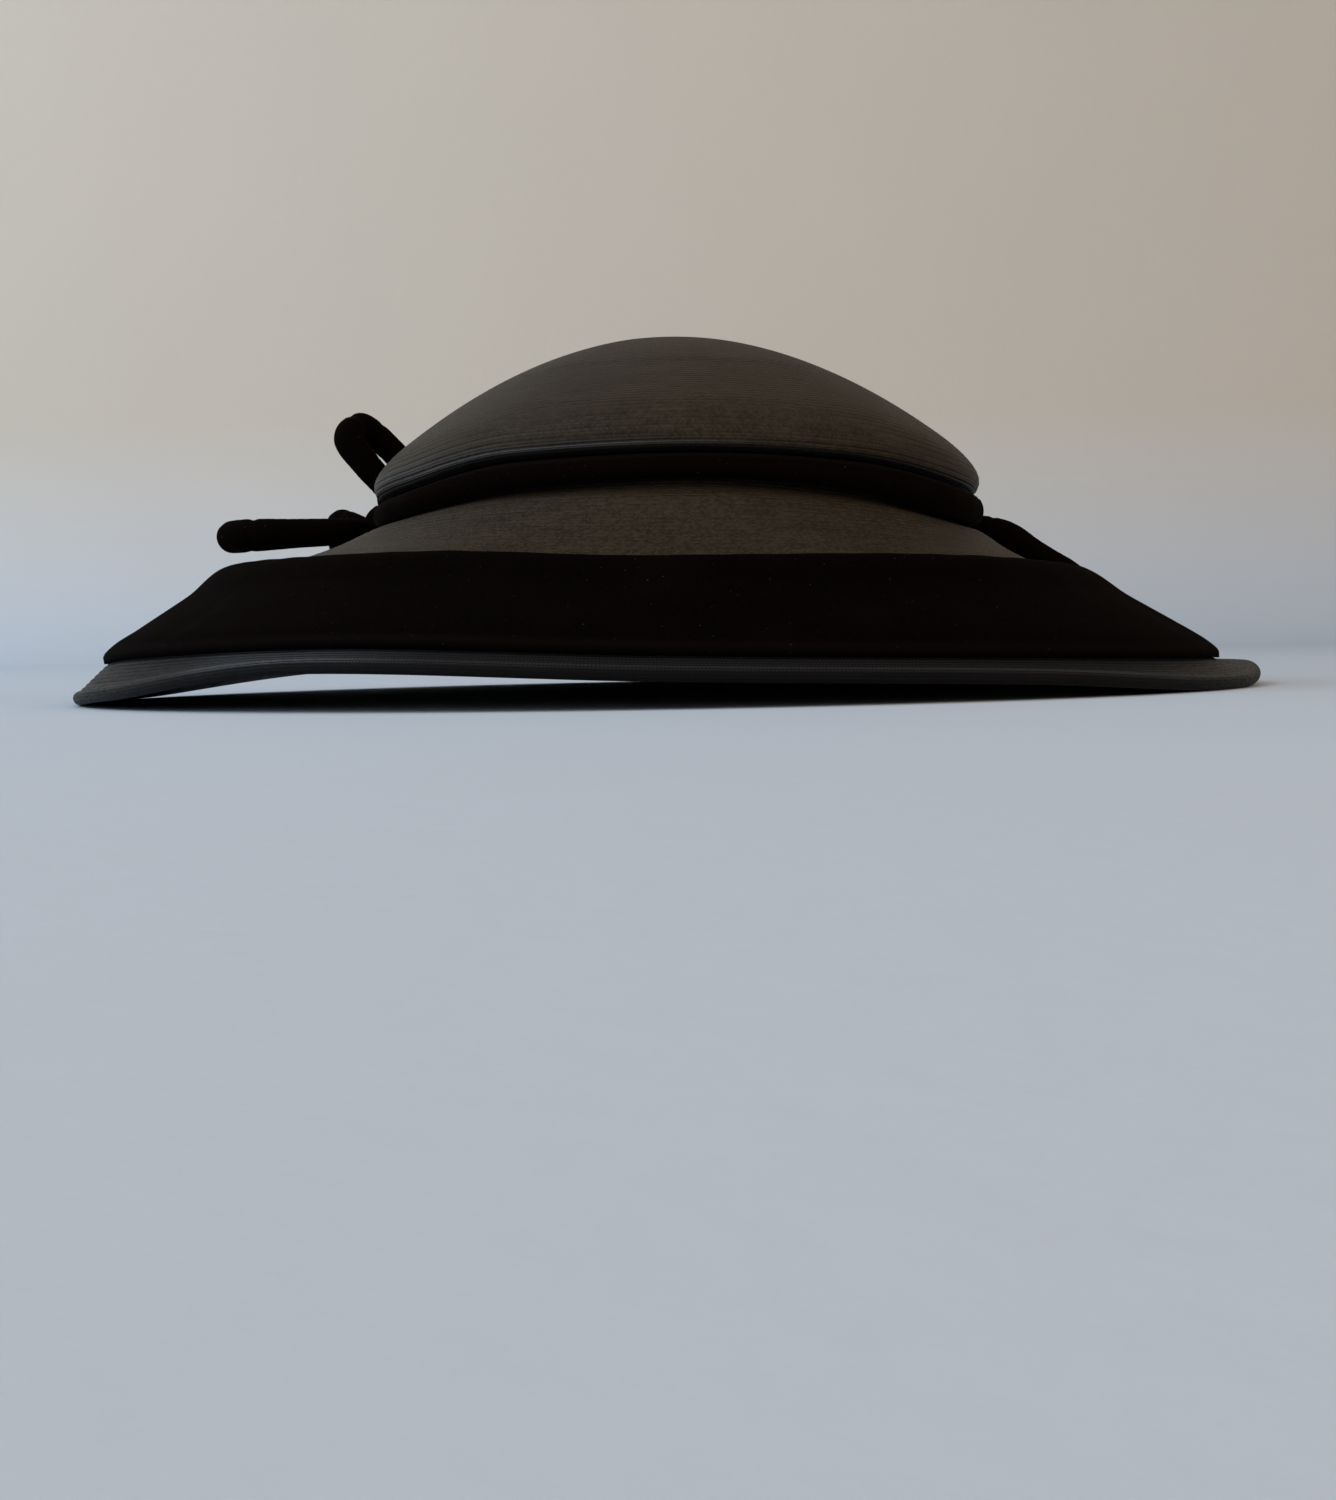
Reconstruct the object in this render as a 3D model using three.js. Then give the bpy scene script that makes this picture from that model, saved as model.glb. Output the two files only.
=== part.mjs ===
// A wide-brimmed dress hat of stiff woven straw, trimmed with black velvet, resting on its brim.
// Millimetres, +Z up. The origin is on the ground under the middle of the brim, and the front faces -Y.
// Azimuths are in degrees seen from above: 0 is +X, 90 the back, 180 the side with the bow, 270 the front.
import * as THREE from 'three';

// Cloth thicknesses
const STRAW = 1.6;
const HEM_FOLD = 3.2;
const SEWN_GAP = 0.3;

// Steps round the hat, and sides of the padded tubes, called rouleaux
const BRIM_STEPS = 60;
const CROWN_STEPS = 48;
const BAND_SIDES = 10;
const BOW_SIDES = 8;
const BOW_STEP = 4.5;

// Crown: its highest point and how round its dome is. Half-widths in plan at the shoulder, where the dome
// ends, at the roll, its widest line, and at the neck. above is a height over the table's roll height.
const APEX = { x: 2.4, y: -6, z: 110 };
const DOME_POWER = 1.95;
const SHOULDER = { across: 84, along: 88, above: 17.3 };
const ROLL = { across: 94.4, along: 98.4, above: 4.8 };
const NECK = { across: 86.5, along: 90.8, cornerAbove: 0.5, footAbove: 5.2 };
const CROWN_MIDDLE = 4.2;

// Rows of points down the crown: 0 is the apex, 1 the shoulder, 2 the roll, 3 turned under it,
// 3.3 the corner where the neck starts and 4 the bottom of the neck, inside which the brim's collar stands
const CORNER = 3.3;
const BOTTOM = 4;
const CROWN_ROWS = [0.14, 0.3, 0.45, 0.6, 0.74, 0.88, 1, 1.33, 1.66, 2, 2.5, 3, CORNER, BOTTOM];
const COLLAR_HEIGHT = 11;

// Height of each ring above the ground, one row for each azimuth where the brim rises or dips.
// hem: lowest line of the wired edge; border: straw at the velvet's outer edge; ridge: straw at the bend of
// the brim; foot: straw at the foot of the crown band; roll: lowest line of the crown's rolled edge.
const RINGS = [
  { at: 0, hem: 3.2, border: 6.8, ridge: 33.0, foot: 49.0, roll: 58.6 },
  { at: 36, hem: 2.6, border: 7.6, ridge: 33.2, foot: 48.0, roll: 57.8 },
  { at: 72, hem: 0.0, border: 8.2, ridge: 34.2, foot: 47.0, roll: 57.6 },
  { at: 78, hem: 0.0, border: 8.6, ridge: 34.6, foot: 47.0, roll: 57.6 },
  { at: 126, hem: 7.0, border: 11.0, ridge: 36.6, foot: 48.0, roll: 58.0 },
  { at: 168, hem: 0.0, border: 11.2, ridge: 38.2, foot: 51.0, roll: 59.8 },
  { at: 186, hem: 0.0, border: 11.0, ridge: 38.8, foot: 51.8, roll: 60.2 },
  { at: 210, hem: 2.6, border: 13.2, ridge: 39.2, foot: 54.2, roll: 62.6 },
  { at: 240, hem: 10.0, border: 15.4, ridge: 39.4, foot: 58.1, roll: 68.4 },
  { at: 270, hem: 6.8, border: 12.4, ridge: 36.6, foot: 59.2, roll: 69.4 },
  { at: 300, hem: 4.0, border: 10.0, ridge: 36.4, foot: 56.1, roll: 67.4 },
  { at: 330, hem: 0.0, border: 8.0, ridge: 34.8, foot: 50.6, roll: 62.0 },
  { at: 336, hem: 0.0, border: 7.8, ridge: 34.4, foot: 50.0, roll: 61.0 },
];

// Upper surface of the brim from the collar out to the wire, one row for each ring of points.
// across and along are half-widths in plan and middle is the ring's centre in x. The height is the ring's
// height in the table named by near, mixed with the one named by far in the share given, plus a rise.
const BRIM = [
  { across: 84.5, along: 88.8, middle: 4.2, near: 'foot', far: 'foot', share: 0, rise: COLLAR_HEIGHT },
  { across: 84.6, along: 88.9, middle: 4.2, near: 'foot', far: 'foot', share: 0, rise: 4.6 },
  { across: 87.6, along: 92.0, middle: 4.0, near: 'foot', far: 'foot', share: 0, rise: 1.6 },
  { across: 96.0, along: 100.4, middle: 3.3, near: 'foot', far: 'ridge', share: 0.1, rise: 0 },
  { across: 105.0, along: 109.5, middle: 2.0, near: 'foot', far: 'ridge', share: 0.43, rise: 0 },
  { across: 117.0, along: 121.5, middle: 0.0, near: 'foot', far: 'ridge', share: 0.76, rise: 0 },
  { across: 127.0, along: 131.0, middle: -1.8, near: 'foot', far: 'ridge', share: 0.96, rise: 0 },
  { across: 131.5, along: 135.5, middle: -2.4, near: 'ridge', far: 'border', share: 0, rise: 0 },
  { across: 144.0, along: 148.0, middle: -2.0, near: 'ridge', far: 'border', share: 0.31, rise: 0 },
  { across: 160.0, along: 164.0, middle: -1.6, near: 'ridge', far: 'border', share: 0.69, rise: 0 },
  { across: 172.0, along: 176.0, middle: -1.2, near: 'ridge', far: 'border', share: 1, rise: 0 },
  { across: 177.4, along: 181.6, middle: -0.6, near: 'border', far: 'hem', share: 0.5, rise: 1.0 },
  { across: 182.0, along: 186.2, middle: 0.0, near: 'hem', far: 'hem', share: 0, rise: 2.8 },
];

// The wired edge: its outermost line, and the narrow land under it on which the hat rests
const EDGE = { across: 182.8, along: 187.0, rise: 1.5 };
const LAND = { outer: 0.9, inner: 2.9 };

// Velvet on the brim: the rows of the table above that it lies on, its thickness on each, and how far its
// rounded inner and outer hems stand out
const VELVET_HEM = { inner: 0.6, outer: 0.9 };
const VELVET = [
  { row: 6, thick: 1.6 },
  { row: 6.5, thick: 2.4 },
  { row: 7, thick: 2.6 },
  { row: 8, thick: 2.4 },
  { row: 9, thick: 2.7 },
  { row: 9.6, thick: 3.5 },
  { row: 9.95, thick: 2.5 },
];

// Crown band: a rouleau round the neck, squeezed between the brim's slope and the crown's rolled edge
const BAND = { across: 91.5, along: 95.8, middle: 4.6, deep: 4.1, clearBelow: 1.0, clearAbove: 0.4 };

// Bow: for each rouleau, the points of its middle line and its half-thickness there. The ends are rounded by
// a cap of the given share of the half-thickness. The knot is pressed against the crown band; the loops and
// the back tail start at the knot; band_tail is the free end of the band, lying on the slope at the right.
const CAP_SHARE = 0.35;
const BOW = {
  bow_knot: [
    { x: -91.4, y: 29.3, z: 50.2, r: 3.8 },
    { x: -91.9, y: 29.6, z: 52.6, r: 5.2 },
    { x: -92.4, y: 29.8, z: 55.4, r: 5.3 },
    { x: -91.7, y: 29.4, z: 58.4, r: 4.5 },
    { x: -91.1, y: 29.3, z: 60.4, r: 3.1 },
  ],
  bow_loop_upper: [
    { x: -90.4, y: 33.0, z: 62.0, r: 2.8 },
    { x: -90.6, y: 35.4, z: 67.2, r: 4.1 },
    { x: -96.7, y: 33.0, z: 75.3, r: 4.6 },
    { x: -102.4, y: 34.0, z: 83.8, r: 4.9 },
    { x: -99.2, y: 40.6, z: 88.2, r: 4.7 },
    { x: -92.0, y: 46.5, z: 82.9, r: 4.3 },
    { x: -86.2, y: 50.5, z: 75.2, r: 4.2 },
    { x: -86.4, y: 49.5, z: 65.5, r: 4.1 },
    { x: -89.4, y: 43.6, z: 59.0, r: 3.6 },
    { x: -92.2, y: 38.1, z: 56.7, r: 3.0 },
  ],
  bow_loop_left: [
    { x: -97.7, y: 26.2, z: 54.6, r: 2.9 },
    { x: -105.6, y: 21.6, z: 53.4, r: 4.1 },
    { x: -119.0, y: 18.6, z: 53.2, r: 4.3 },
    { x: -132.5, y: 18.0, z: 53.0, r: 4.7 },
    { x: -139.6, y: 24.4, z: 52.2, r: 5.2 },
    { x: -132.5, y: 30.6, z: 52.4, r: 4.8 },
    { x: -120.0, y: 31.6, z: 52.8, r: 4.3 },
    { x: -107.6, y: 32.0, z: 53.2, r: 3.9 },
    { x: -98.9, y: 32.4, z: 54.1, r: 2.7 },
  ],
  bow_tail_back: [
    { x: -94.8, y: 36.1, z: 54.0, r: 2.6 },
    { x: -101.2, y: 41.2, z: 55.8, r: 3.8 },
    { x: -107.0, y: 48.0, z: 57.2, r: 4.4 },
    { x: -109.0, y: 57.0, z: 55.0, r: 4.4 },
    { x: -109.4, y: 66.0, z: 50.0, r: 4.3 },
    { x: -109.4, y: 74.0, z: 45.4, r: 4.0 },
  ],
  band_tail: [
    { x: 97.7, y: 33.2, z: 49.8, r: 3.4 },
    { x: 101.7, y: 24.1, z: 49.9, r: 4.9 },
    { x: 109.6, y: 17.5, z: 47.3, r: 5.3 },
    { x: 117.5, y: 15.0, z: 42.5, r: 4.6 },
    { x: 123.5, y: 15.0, z: 40.1, r: 3.4 },
    { x: 130.0, y: 16.5, z: 37.7, r: 2.1 },
    { x: 134.5, y: 18.0, z: 34.6, r: 1.9 },
  ],
};

const rad = THREE.MathUtils.degToRad;
const mix = THREE.MathUtils.lerp;

// Slope of a periodic column at row i, level at the peaks and dips so that the curve never overshoots.
function slopeAt(column, i) {
  const count = RINGS.length;
  const here = RINGS[i];
  const before = RINGS[(i + count - 1) % count];
  const after = RINGS[(i + 1) % count];
  const stepBefore = (here.at - before.at + 360) % 360;
  const stepAfter = (after.at - here.at + 360) % 360;
  const rise = (here[column] - before[column]) / stepBefore;
  const fall = (after[column] - here[column]) / stepAfter;
  return rise * fall <= 0 ? 0 : (2 * rise * fall) / (rise + fall);
}

// Height of a ring at any azimuth: a smooth curve through the table's rows.
function ringHeight(column, azimuth) {
  const turn = ((azimuth % 360) + 360) % 360;
  const last = RINGS.length - 1;
  const found = RINGS.findIndex((row, i) => i === last || turn < RINGS[i + 1].at);
  const next = (found + 1) % RINGS.length;
  const span = (RINGS[next].at - RINGS[found].at + 360) % 360;
  const t = (turn - RINGS[found].at) / span;
  const t2 = t * t;
  const t3 = t2 * t;
  return (2 * t3 - 3 * t2 + 1) * RINGS[found][column]
    + (t3 - 2 * t2 + t) * span * slopeAt(column, found)
    + (3 * t2 - 2 * t3) * RINGS[next][column]
    + (t3 - t2) * span * slopeAt(column, next);
}

function onOval(across, along, middle, azimuth, z) {
  return new THREE.Vector3(middle + across * Math.cos(rad(azimuth)), along * Math.sin(rad(azimuth)), z);
}

// Upper surface of the brim at a row of its table, or between two rows.
function brimTop(row, azimuth) {
  const low = Math.min(Math.floor(row), BRIM.length - 2);
  const t = row - low;
  const points = [BRIM[low], BRIM[low + 1]].map((ring) => {
    const height = mix(ringHeight(ring.near, azimuth), ringHeight(ring.far, azimuth), ring.share);
    return onOval(ring.across, ring.along, ring.middle, azimuth, height + ring.rise);
  });
  return points[0].lerp(points[1], t);
}

// Points offset square to a section and to the way round the hat; to the left of the section's direction.
function offsetSection(surface, rows, azimuth, distance) {
  return rows.map((row, i) => {
    const before = surface(rows[Math.max(i - 1, 0)], azimuth);
    const after = surface(rows[Math.min(i + 1, rows.length - 1)], azimuth);
    const round = surface(row, azimuth + 1).sub(surface(row, azimuth - 1));
    const out = after.sub(before).cross(round).normalize();
    return surface(row, azimuth).addScaledVector(out, distance(row, i));
  });
}

// A closed surface from rows of points: each row is a closed loop. The last row is joined to the first, or
// both ends are filled round a pole.
function bodyFromLoops(loops, joined, poles) {
  const sides = loops[0].length;
  const positions = loops.flat().flatMap((p) => [p.x, p.y, p.z]);
  const index = [];
  const rows = loops.length;
  for (let j = 0; j < (joined ? rows : rows - 1); j += 1) {
    for (let i = 0; i < sides; i += 1) {
      const a = j * sides + i;
      const b = j * sides + ((i + 1) % sides);
      const c = ((j + 1) % rows) * sides + i;
      const d = ((j + 1) % rows) * sides + ((i + 1) % sides);
      index.push(a, b, d, a, d, c);
    }
  }
  if (!joined) {
    for (const pole of [0, 1]) {
      const centre = positions.length / 3;
      positions.push(poles[pole].x, poles[pole].y, poles[pole].z);
      const start = pole * (rows - 1) * sides;
      for (let i = 0; i < sides; i += 1) {
        const a = start + i;
        const b = start + ((i + 1) % sides);
        index.push(...(pole === 0 ? [centre, b, a] : [centre, a, b]));
      }
    }
  }
  const geometry = new THREE.BufferGeometry();
  geometry.setAttribute('position', new THREE.Float32BufferAttribute(positions, 3));
  geometry.setIndex(index);
  geometry.computeVertexNormals();
  return geometry;
}

const azimuthsOf = (steps) => Array.from({ length: steps }, (_, i) => (i * 360) / steps);

// Brim: the upper surface, the wired edge, the folded hem and the underside, swept round.
function brimSection(azimuth) {
  const rows = BRIM.map((_, i) => i);
  const top = rows.map((row) => brimTop(row, azimuth));
  const low = ringHeight('hem', azimuth);
  const inset = (by, z) => onOval(EDGE.across - by, EDGE.along - by, 0, azimuth, z);
  const lastFlat = BRIM.length - 2;
  const under = offsetSection(brimTop, rows.slice(0, lastFlat + 1), azimuth, () => -STRAW);
  const fold = top[lastFlat].clone().add(new THREE.Vector3(0, 0, -HEM_FOLD));
  fold.z = Math.max(fold.z, low);
  return [
    ...top,
    inset(0, low + EDGE.rise),
    inset(LAND.outer, low),
    inset(LAND.inner, low),
    fold,
    ...under.slice(0, lastFlat).reverse(),
  ];
}

function makeBrim() {
  return bodyFromLoops(azimuthsOf(BRIM_STEPS).map(brimSection), true);
}

// Velvet band: lies on the straw with rounded hems, thickest at its outer fold.
function velvetSection(azimuth) {
  const rows = VELVET.map((band) => band.row);
  const under = offsetSection(brimTop, rows, azimuth, () => SEWN_GAP);
  const over = offsetSection(brimTop, rows, azimuth, (_, i) => SEWN_GAP + VELVET[i].thick);
  const lip = (a, b, c, by) => a.clone().lerp(b, 0.5).addScaledVector(a.clone().sub(c).normalize(), by);
  const last = rows.length - 1;
  return [
    lip(under[0], over[0], under[1], VELVET_HEM.inner),
    ...over,
    lip(under[last], over[last], under[last - 1], VELVET_HEM.outer),
    ...under.reverse(),
  ];
}

function makeVelvetBand() {
  return bodyFromLoops(azimuthsOf(BRIM_STEPS).map(velvetSection), true);
}

// Dome: from the apex, 0, to the shoulder, 1.
function domePoint(u, azimuth, roll) {
  const point = onOval(SHOULDER.across * u, SHOULDER.along * u, mix(APEX.x, CROWN_MIDDLE, u), azimuth, 0);
  point.y += mix(APEX.y, 0, u);
  point.z = mix(APEX.z, roll + SHOULDER.above, u ** DOME_POWER);
  return point;
}

// A curve that leaves the shoulder, 1, as steeply as the dome reaches it and is upright at the roll, 2.
// It bends towards the point where those two directions cross, straight above the roll.
function rollPoint(u, azimuth, roll) {
  const t = u - 1;
  const steepness = DOME_POWER * (APEX.z - roll - SHOULDER.above) / SHOULDER.across;
  const crossing = SHOULDER.above - steepness * (ROLL.across - SHOULDER.across);
  const share = (1 - t) ** 2;
  const above = share * SHOULDER.above + 2 * t * (1 - t) * crossing + t ** 2 * ROLL.above;
  const across = mix(ROLL.across, SHOULDER.across, share);
  const along = mix(ROLL.along, SHOULDER.along, share);
  return onOval(across, along, CROWN_MIDDLE, azimuth, roll + above);
}

// The quarter turn under, from the roll, 2, to its lowest line, 3.
function turnedUnderPoint(u, azimuth, roll) {
  const turn = rad(90 * (u - 2));
  const inwards = ROLL.above * (1 - Math.cos(turn));
  const z = roll + ROLL.above * (1 - Math.sin(turn));
  return onOval(ROLL.across - inwards, ROLL.along - inwards, CROWN_MIDDLE, azimuth, z);
}

// The neck: level in to the corner, then straight down behind the band.
function neckPoint(u, azimuth, roll) {
  const inwards = Math.min((u - 3) / (CORNER - 3), 1);
  const down = Math.max((u - CORNER) / (BOTTOM - CORNER), 0);
  const across = mix(ROLL.across - ROLL.above, NECK.across, inwards);
  const along = mix(ROLL.along - ROLL.above, NECK.along, inwards);
  const foot = ringHeight('foot', azimuth) + NECK.footAbove;
  return onOval(across, along, CROWN_MIDDLE, azimuth, mix(roll + NECK.cornerAbove * inwards, foot, down));
}

// Upper and outer surface of the crown at a row.
function crownTop(u, azimuth) {
  const roll = ringHeight('roll', azimuth);
  const stretches = [domePoint, rollPoint, turnedUnderPoint, neckPoint];
  const stretch = stretches[Math.min(Math.max(Math.ceil(u) - 1, 0), stretches.length - 1)];
  return stretch(u, azimuth, roll);
}

function makeCrown() {
  const azimuths = azimuthsOf(CROWN_STEPS);
  const over = azimuths.map((azimuth) => CROWN_ROWS.map((u) => crownTop(u, azimuth)));
  const under = azimuths.map((azimuth) => offsetSection(crownTop, CROWN_ROWS, azimuth, () => -STRAW));
  const count = CROWN_ROWS.length;
  const loops = [];
  for (let i = 0; i < count; i += 1) {
    loops.push(under.map((section) => section[i]));
  }
  for (let i = count - 1; i >= 0; i -= 1) {
    loops.push(over.map((section) => section[i]));
  }
  const top = new THREE.Vector3(APEX.x, APEX.y, APEX.z);
  return bodyFromLoops(loops, false, [top.clone().setZ(APEX.z - STRAW), top]);
}

// A section of the crown band, squeezed to the height of the groove that it lies in.
function bandSection(azimuth) {
  const low = ringHeight('foot', azimuth) + BAND.clearBelow;
  const high = ringHeight('roll', azimuth) - BAND.clearAbove;
  return Array.from({ length: BAND_SIDES }, (_, i) => {
    const turn = (i * 2 * Math.PI) / BAND_SIDES;
    const out = BAND.deep * Math.cos(turn);
    const z = mix(low, high, (1 + Math.sin(turn)) / 2);
    return onOval(BAND.across + out, BAND.along + out, BAND.middle, azimuth, z);
  }).reverse();
}

function makeCrownBand() {
  return bodyFromLoops(azimuthsOf(CROWN_STEPS).map(bandSection), true);
}

// A padded tube along a smooth curve through the rows, with rounded ends.
function makeRouleau(rows) {
  const middles = rows.map((row) => new THREE.Vector3(row.x, row.y, row.z));
  const halves = rows.map((row) => new THREE.Vector3(row.r, 0, 0));
  const line = new THREE.CatmullRomCurve3(middles, false, 'centripetal');
  const thickness = new THREE.CatmullRomCurve3(halves, false, 'catmullrom');
  const steps = Math.round(line.getLength() / BOW_STEP);
  const frames = line.computeFrenetFrames(steps, false);
  const loops = [];
  for (let j = 0; j <= steps; j += 1) {
    const centre = line.getPointAt(j / steps);
    const radius = thickness.getPoint(line.getUtoTmapping(j / steps)).x;
    loops.push(Array.from({ length: BOW_SIDES }, (_, i) => {
      const turn = (i * 2 * Math.PI) / BOW_SIDES;
      return centre.clone()
        .addScaledVector(frames.normals[j], radius * Math.cos(turn))
        .addScaledVector(frames.binormals[j], radius * Math.sin(turn));
    }));
  }
  const ends = [0, 1].map((end) => {
    const tangent = line.getTangentAt(end);
    const row = rows[end * (rows.length - 1)];
    return line.getPointAt(end).addScaledVector(tangent, (end ? 1 : -1) * CAP_SHARE * row.r);
  });
  return bodyFromLoops(loops, false, ends);
}

function clothMesh(name, geometry, cloth) {
  const mesh = new THREE.Mesh(geometry, new THREE.MeshStandardMaterial(cloth));
  mesh.name = name;
  return mesh;
}

const straw = { color: 0x33302b, roughness: 0.55, metalness: 0 };
const velvet = { color: 0x0a0808, roughness: 1, metalness: 0 };

const hat = new THREE.Group();
hat.name = 'wide_brim_hat';
hat.add(clothMesh('crown', makeCrown(), straw));
hat.add(clothMesh('brim', makeBrim(), straw));
hat.add(clothMesh('brim_velvet_band', makeVelvetBand(), velvet));
hat.add(clothMesh('crown_band', makeCrownBand(), velvet));
for (const [name, rows] of Object.entries(BOW)) {
  hat.add(clothMesh(name, makeRouleau(rows), velvet));
}

export default hat;
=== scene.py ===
# %% [markdown]
# A dress hat from the 1950s or so: a shallow straw crown with a rolled edge, a wide brim that slopes down
# and rests on the ground by itself, and black velvet trims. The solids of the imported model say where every
# piece is. They are faceted and plain, so each one gets a finely made mesh that takes its place here.
# Lengths are metres, +Z is up, the front faces -Y, and the bow is at -X.

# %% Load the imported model
import math

import bpy
import numpy as np
from mathutils import Matrix, Vector


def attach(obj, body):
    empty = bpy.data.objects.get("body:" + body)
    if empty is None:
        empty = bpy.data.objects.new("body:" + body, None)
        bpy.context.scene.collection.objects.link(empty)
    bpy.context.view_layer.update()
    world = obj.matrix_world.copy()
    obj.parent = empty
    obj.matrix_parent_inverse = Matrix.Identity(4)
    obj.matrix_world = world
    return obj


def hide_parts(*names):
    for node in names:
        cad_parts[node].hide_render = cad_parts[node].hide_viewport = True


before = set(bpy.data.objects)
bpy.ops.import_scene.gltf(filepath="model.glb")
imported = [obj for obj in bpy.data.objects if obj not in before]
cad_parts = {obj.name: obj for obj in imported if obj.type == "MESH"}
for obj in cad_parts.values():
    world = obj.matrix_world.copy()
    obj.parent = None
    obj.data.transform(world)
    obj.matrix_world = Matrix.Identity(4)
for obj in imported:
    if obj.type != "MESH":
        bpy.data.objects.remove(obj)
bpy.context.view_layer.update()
MM = 0.001
print("nodes in the frame:", ", ".join(sorted(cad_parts)))

# %% [markdown]
# The camera stands where the photograph was taken: level with the brim, a little under a metre away,
# tipped slightly down and leaning by one degree. A long lens squeezes the depth, so the brim shows as a
# thin blade. The lens could be set in millimetres at once, but the photograph only gives it in pixels, so
# it is worked out from those.

# %% Camera
PICTURE_HIGH = 1500
SENSOR = 36.0
FOCAL_PIXELS = 2660
HORIZON_ROW = 630
EYE = Vector((0, -839 * MM, 19.6 * MM))
CAMERA_ROLL = math.radians(1.05)
NEAREST_SEEN = 10 * MM


def make_camera():
    tip = math.atan((PICTURE_HIGH / 2 - HORIZON_ROW) / FOCAL_PIXELS)
    ahead = Vector((0, math.cos(tip), -math.sin(tip)))
    level = Vector((1, 0, 0))
    above = level.cross(ahead)
    across = math.cos(CAMERA_ROLL) * level - math.sin(CAMERA_ROLL) * above
    upward = math.sin(CAMERA_ROLL) * level + math.cos(CAMERA_ROLL) * above
    data = bpy.data.cameras.new("photo_camera")
    data.sensor_fit = "VERTICAL"
    data.sensor_height = SENSOR
    data.lens = SENSOR * FOCAL_PIXELS / PICTURE_HIGH
    data.clip_start = NEAREST_SEEN
    camera = bpy.data.objects.new("photo_camera", data)
    turned = Matrix((across, upward, -ahead)).transposed().to_4x4()
    camera.matrix_world = Matrix.Translation(EYE) @ turned
    bpy.context.scene.collection.objects.link(camera)
    bpy.context.scene.camera = camera
    return camera


camera = make_camera()
print(f"lens {camera.data.lens:.1f} mm, {EYE.length:.2f} m from the hat")

# %% [markdown]
# Every finish here is made of nodes. They could be placed by hand in the shader editor, but a script gives
# the same finish on every run. A few short helpers keep the node trees readable: `add` puts in one node and
# sets its values, `plug` gives a socket a number or a link, and `calc` is one step of arithmetic.

# %% Node helpers
# the colour sockets of a Mix node: the share, the two colours, and the result
MIX_SHARE, MIX_FIRST, MIX_SECOND, MIX_RESULT = 0, 6, 7, 2


def new_finish(name):
    material = bpy.data.materials.new(name)
    material.use_nodes = True
    tree = material.node_tree
    shader = tree.nodes["Principled BSDF"]
    return material, tree, shader


def add(tree, kind, **values):
    node = tree.nodes.new(kind)
    for key, value in values.items():
        if hasattr(node, key):
            setattr(node, key, value)
        else:
            node.inputs[key.replace("_", " ")].default_value = value
    return node


def plug(tree, value, socket):
    if isinstance(value, bpy.types.NodeSocket):
        tree.links.new(value, socket)
    else:
        socket.default_value = value


def calc(tree, operation, first, second=0.0, third=None):
    node = tree.nodes.new("ShaderNodeMath")
    node.operation = operation
    plug(tree, first, node.inputs[0])
    plug(tree, second, node.inputs[1])
    if third is not None:
        plug(tree, third, node.inputs[2])
    return node.outputs[0]


def blend_colour(tree, share, first, second):
    node = tree.nodes.new("ShaderNodeMix")
    node.data_type = "RGBA"
    plug(tree, share, node.inputs[MIX_SHARE])
    plug(tree, first, node.inputs[MIX_FIRST])
    plug(tree, second, node.inputs[MIX_SECOND])
    return node.outputs[MIX_RESULT]


def spread(tree, value, low, high, new_low, new_high):
    """Maps the values between low and high to those between new_low and new_high, and no further."""
    node = add(tree, "ShaderNodeMapRange", clamp=True)
    for socket, number in zip(node.inputs[:5], (value, low, high, new_low, new_high)):
        plug(tree, number, socket)
    return node.outputs[0]


def noise_at(tree, place, scale, detail):
    node = add(tree, "ShaderNodeTexNoise", Scale=scale, Detail=detail)
    tree.links.new(place, node.inputs["Vector"])
    return node.outputs[0]


def painted(tree, name):
    return add(tree, "ShaderNodeAttribute", attribute_name=name).outputs["Fac"]


def raise_surface(tree, shader, height, depth, strength):
    node = add(tree, "ShaderNodeBump", Distance=depth, Strength=strength)
    tree.links.new(height, node.inputs["Height"])
    tree.links.new(node.outputs["Normal"], shader.inputs["Normal"])


print("node helpers ready")

# %% [markdown]
# The hat stands on a white table in front of a warm plastered wall. A wall and a table could be two planes,
# but one sheet that curves up behind leaves no hard line beside the brim, as a studio sweep does. It is far
# enough back that a camera behind the hat still stands in front of it.

# %% Floor and wall
SWEEP = {"front": -1.5, "wall": 1.4, "curve": 0.2, "height": 2.4, "half_width": 2.6, "steps": 24}
TABLE_WHITE = (0.525, 0.595, 0.70, 1)
WALL_PLASTER = (0.68, 0.605, 0.52, 1)
TROWEL_GREY = (0.5, 0.47, 0.43, 1)
PLASTER = {"grain": 150.0, "trowel": 7.0, "greyest": 0.06, "relief": 0.8 * MM, "rough": 0.75, "shine": 0.2}


def make_plaster():
    material, tree, shader = new_finish("pale_plaster")
    place = add(tree, "ShaderNodeTexCoord").outputs["Object"]
    split = add(tree, "ShaderNodeSeparateXYZ")
    tree.links.new(place, split.inputs[0])
    grain = noise_at(tree, place, PLASTER["grain"], 5.0)
    trowel = noise_at(tree, place, PLASTER["trowel"], 3.0)
    upright = spread(tree, split.outputs[2], 0.0, SWEEP["curve"], 0.0, 1.0)
    colour = blend_colour(tree, upright, TABLE_WHITE, WALL_PLASTER)
    shade = spread(tree, trowel, 0.3, 0.7, 0.0, PLASTER["greyest"])
    colour = blend_colour(tree, shade, colour, TROWEL_GREY)
    tree.links.new(colour, shader.inputs["Base Color"])
    shader.inputs["Roughness"].default_value = PLASTER["rough"]
    shader.inputs["Specular IOR Level"].default_value = PLASTER["shine"]
    both = calc(tree, "MULTIPLY_ADD", trowel, 2.0, grain)
    raise_surface(tree, shader, both, PLASTER["relief"], 0.3)
    return material


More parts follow.
